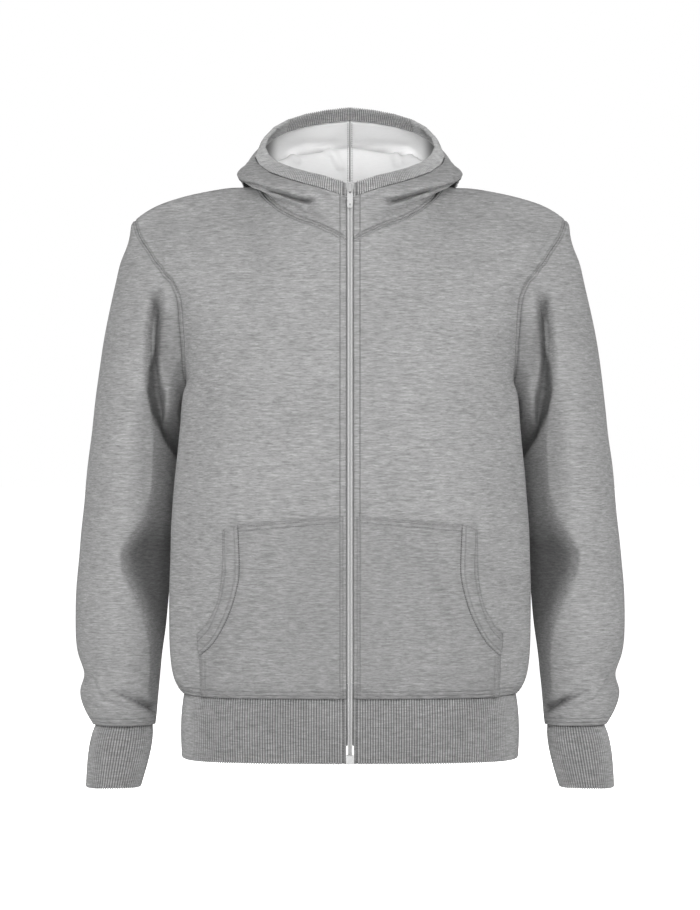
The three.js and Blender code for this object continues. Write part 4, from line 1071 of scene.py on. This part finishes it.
def row_beside(line, panels, distance, lift, pitch=STITCH_PITCH):
    """A row of stitches at a distance from a seam, on the side of the given panels."""
    row = []
    points = even_steps(line, pitch)
    for before, point, after in zip(points, points[1:], points[2:]):
        place, facing = nearest(panels, point)
        outward = facing.cross(after - before).normalized() * distance
        choices = [nearest(panels, place + outward), nearest(panels, place - outward)]
        place, facing = max(choices, key=lambda choice: (choice[0] - place).length)
        row.append((place + facing * lift, facing))
    return row


def row_in_front(points, lift=THREAD / 4, pitch=STITCH_PITCH):
    """A row of stitches over points given as seen from straight ahead, on the outermost cloth."""
    row = []
    for flat in even_steps([(x, z, 0.0) for x, z in points], pitch):
        start = Vector((flat.x, -1.0, flat.y))
        hits = [tree.ray_cast(start, Vector((0.0, 1.0, 0.0))) for tree in surfaces.values()]
        hits = [hit for hit in hits if hit[0] is not None]
        if hits:
            place, facing, _, _ = min(hits, key=lambda hit: hit[3])
            if facing.y > 0:
                facing = -facing
            row.append((place + facing * lift, facing))
    return row


def repeated(name, shape, transforms):
    """One mesh of many copies of a small shape."""
    corners = np.array([(*v.co, 1.0) for v in shape.verts])
    spread = np.einsum("nij,pj->npi", np.array(transforms), corners)[:, :, :3].reshape(-1, 3)
    rings = [[v.index for v in f.verts] for f in shape.faces]
    step = len(corners)
    mesh = bpy.data.meshes.new(name)
    mesh.from_pydata(
        spread.tolist(), [],
        [[i + k * step for i in ring] for k in range(len(transforms)) for ring in rings],
    )
    mesh.polygons.foreach_set("use_smooth", [True] * len(mesh.polygons))
    mesh.update()
    return mesh


def sewn(name, rows, thread, slot, length=STITCH_LENGTH, thick=THREAD):
    """A piece of many stitches, from its rows of places and facings."""
    stitch = bmesh.new()
    bmesh.ops.create_uvsphere(stitch, u_segments=6, v_segments=4, radius=1.0)
    stitch.verts.index_update()
    transforms = []
    for row in rows:
        for (place, facing), (ahead, _) in zip(row, row[1:]):
            if (ahead - place).length > 3 * STITCH_PITCH:
                continue
            along = (ahead - place).normalized()
            across = facing.cross(along).normalized()
            turn = Matrix((along, across, along.cross(across))).transposed().to_4x4()
            size = Matrix.Diagonal((length / 2, thick / 2, thick / 2, 1.0))
            transforms.append(Matrix.Translation((place + ahead) / 2) @ turn @ size)
    piece = new_piece(name, repeated(name, stitch, transforms), thread)
    stitch.free()
    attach(piece, "garment")
    return piece


BODY = ("front_right", "front_left", "back")
HOOD = ("hood_right", "hood_left")
neck_seam = seam_line(on_hood & on_body)
seam_rows = [
    row_beside(neck_seam, HOOD, SEAM_TO_STITCH, THREAD / 4),
    row_beside(neck_seam, BODY, SEAM_TO_STITCH, THREAD / 4),
]
for number, sleeve in ((3, "sleeve_right"), (4, "sleeve_left")):
    armhole = seam_line(on_panel[number] & on_body)
    seam_rows.append(row_beside(armhole, BODY, SEAM_TO_STITCH, THREAD / 4))
    seam_rows.append(row_beside(armhole, (sleeve,), SEAM_TO_STITCH, THREAD / 4))
hood_middle = seam_line(on_panel[5] & on_panel[6])
for half in HOOD:
    seam_rows.append(row_beside(hood_middle, (half,), SEAM_TO_STITCH, THREAD / 4))
sewn("seam_stitches", seam_rows, grey_thread, "fleece")
sewn(
    "hood_lining_stitches",
    [row_beside(hood_middle, (half,), 0.0019, -CLOTH_THICKNESS - THREAD / 4) for half in HOOD],
    grey_thread, "fleece", thick=0.0011,
)

edge_rows = []
for side in (1, -1):
    zip_row = side * ZIP_TO_STITCH
    edge_rows.append(row_in_front([(zip_row, -0.022), (zip_row, HEM_SEAM_HEIGHT + 0.004)]))
    edge_rows.append(row_in_front([(side * 0.0082, HEM_SEAM_HEIGHT - 0.004), (side * 0.0082, -0.695)]))
    for drop in POCKET_TOP_ROWS:
        ends = [(side * x, z - drop) for x, z in (
            (0.0145, POCKET_TOP[0][1] - 0.0005), (0.1315, POCKET_TOP[1][1]),
        )]
        edge_rows.append(row_in_front(ends))
    for inset in POCKET_SIDE_ROWS:
        side_row = [(side * (0.1775 - inset), -0.575), (side * (0.177 - inset), -0.6185)]
        edge_rows.append(row_in_front(side_row))
    beside_seam = [seam_points[k].lerp(opening_points[k], 0.24) for k in range(2, 59)]
    edge_rows.append(row_in_front([(side * at.x, at.y) for at in beside_seam]))
    near_opening = [seam_points[k].lerp(opening_points[k], 0.9) for k in range(2, 59)]
    edge_rows.append(row_in_front([(side * at.x, at.y) for at in near_opening]))
rim = np.flatnonzero(on_body & (final_places[:, 2] < HEM_SEAM_HEIGHT + 0.003))
around = np.argsort(np.arctan2(final_places[rim, 0], final_places[rim, 1]))
hem_line = final_places[rim][around]
for rise in HEM_TO_STITCHES:
    above_hem = [point + Vector((0, 0, rise)) for point in even_steps(hem_line, STITCH_PITCH)]
    on_cloth = [nearest(BODY, point) for point in above_hem]
    edge_rows.append([(place + facing * THREAD / 4, facing) for place, facing in on_cloth])
sewn("edge_stitches", edge_rows, grey_thread, "fleece")
sewn(
    "pocket_seam_stitches",
    [
        row_in_front([(side * (at.x + 0.0002), at.y) for at in seam_points[1:]], pitch=0.0026)
        for side in (1, -1)
    ],
    dark_thread, "fleece", length=0.0019, thick=0.0008,
)

# The zip: two rows of moulded coil, meeting in the middle, on woven tapes that are sewn behind
# the fronts. A box closes its foot, and an enamelled slider stands at its top.
COIL_PITCH = 0.0015
COIL_TOP = -0.0235
COIL_FOOT = -0.6865


def woven_material(name, shade):
    """Close twill tape."""
    made = bpy.data.materials.new(name)
    made.use_nodes = True
    tree = made.node_tree
    place = add_node(tree, "ShaderNodeTexCoord").outputs["Object"]
    turned_place = add_node(tree, "ShaderNodeMapping", i0=place, i2=(0.0, math.radians(38), 0.0))
    twill = add_node(
        tree, "ShaderNodeTexWave", {"wave_type": "BANDS", "bands_direction": "X"},
        Vector=turned_place.outputs[0], Scale=420.0, Distortion=0.6, Detail=1.0,
    )
    tone = add_node(
        tree, "ShaderNodeMapRange", Value=twill.outputs["Fac"], i1=0.0, i2=1.0, i3=0.85, i4=1.08,
    )
    colour = add_node(
        tree, "ShaderNodeVectorMath", {"operation": "SCALE"}, i0=(shade, shade, shade),
        Scale=tone.outputs[0],
    )
    relief = add_node(
        tree, "ShaderNodeBump", Strength=0.4, Distance=0.0002, Height=twill.outputs["Fac"],
    )
    surface = tree.nodes["Principled BSDF"]
    tree.links.new(colour.outputs[0], surface.inputs["Base Color"])
    tree.links.new(relief.outputs[0], surface.inputs["Normal"])
    surface.inputs["Roughness"].default_value = 0.75
    surface.inputs["Sheen Weight"].default_value = 0.1
    return made


def hard_material(name, shade, rough, coat, spread):
    """Enamel or moulded plastic, a little uneven in its tone and polish."""
    made = bpy.data.materials.new(name)
    made.use_nodes = True
    tree = made.node_tree
    place = add_node(tree, "ShaderNodeTexCoord").outputs["Object"]
    mottle = add_node(tree, "ShaderNodeTexNoise", Vector=place, Scale=260.0, Detail=3.0)
    tone = add_node(
        tree, "ShaderNodeMapRange", Value=mottle.outputs[0], i1=0.3, i2=0.7, i3=1 - spread,
        i4=1 + spread,
    )
    colour = add_node(
        tree, "ShaderNodeVectorMath", {"operation": "SCALE"}, i0=(shade, shade, shade),
        Scale=tone.outputs[0],
    )
    polish = add_node(
        tree, "ShaderNodeMapRange", Value=mottle.outputs[0], i1=0.3, i2=0.7, i3=rough, i4=rough + 0.12,
    )
    surface = tree.nodes["Principled BSDF"]
    tree.links.new(colour.outputs[0], surface.inputs["Base Color"])
    tree.links.new(polish.outputs[0], surface.inputs["Roughness"])
    surface.inputs["Coat Weight"].default_value = coat
    surface.inputs["Coat Roughness"].default_value = 0.15
    return made


tape_weave = woven_material("tape_weave", 0.26)
coil_plastic = hard_material("coil_plastic", 0.5, 0.4, 0.0, 0.04)
enamel = hard_material("enamel", 0.34, 0.34, 0.25, 0.03)
for node in ("zip_chain", "zip_tape_right", "zip_tape_left"):
    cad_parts[node].material_slots[0].material = tape_weave

chain_skin = merged_copy("zip_chain")
chain_face = BVHTree.FromBMesh(chain_skin)
chain_skin.free()
coil_turn = bmesh.new()
bmesh.ops.create_uvsphere(coil_turn, u_segments=6, v_segments=5, radius=1.0)
coil_turn.verts.index_update()
turn_places = []
for step in range(int((COIL_TOP - COIL_FOOT) / COIL_PITCH)):
    for side in (1, -1):
        height = COIL_TOP - COIL_PITCH * (step + (0.5 if side > 0 else 0.0))
        hit = chain_face.ray_cast(Vector((side * 0.0012, -1.0, height)), Vector((0.0, 1.0, 0.0)))[0]
        lean = Matrix.Rotation(side * math.radians(7), 4, "Y")
        size = Matrix.Diagonal((0.00132, 0.0006, 0.00066, 1.0))
        turn_places.append(Matrix.Translation((side * 0.00174, hit.y + 0.0001, height)) @ lean @ size)
coils = new_piece("zip_coils", repeated("zip_coils", coil_turn, turn_places), coil_plastic)
coil_turn.free()
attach(coils, "garment")


def cast_piece(name, node, round_off, body, finish=enamel):
    """A hard fitting with its edges rounded off."""
    shape = merged_copy(node)
    bmesh.ops.dissolve_limit(shape, angle_limit=math.radians(4), verts=shape.verts, edges=shape.edges)
    for face in shape.faces:
        face.smooth = True
    mesh = bpy.data.meshes.new(name)
    shape.to_mesh(mesh)
    shape.free()
    piece = new_piece(name, mesh, finish)
    rounding = piece.modifiers.new("rounding", "BEVEL")
    rounding.width = round_off
    rounding.segments = 3
    rounding.limit_method = "ANGLE"
    rounding.angle_limit = math.radians(35)
    piece.modifiers.new("shading", "WEIGHTED_NORMAL")
    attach(piece, body)
    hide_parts(node)
    return piece


cast_piece("zip_box_moulded", "zip_box", 0.0003, "garment", coil_plastic)
cast_piece("slider_cast", "slider", 0.00025, "garment")
cast_piece("pull_tab_cast", "pull_tab", 0.00025, "tab")
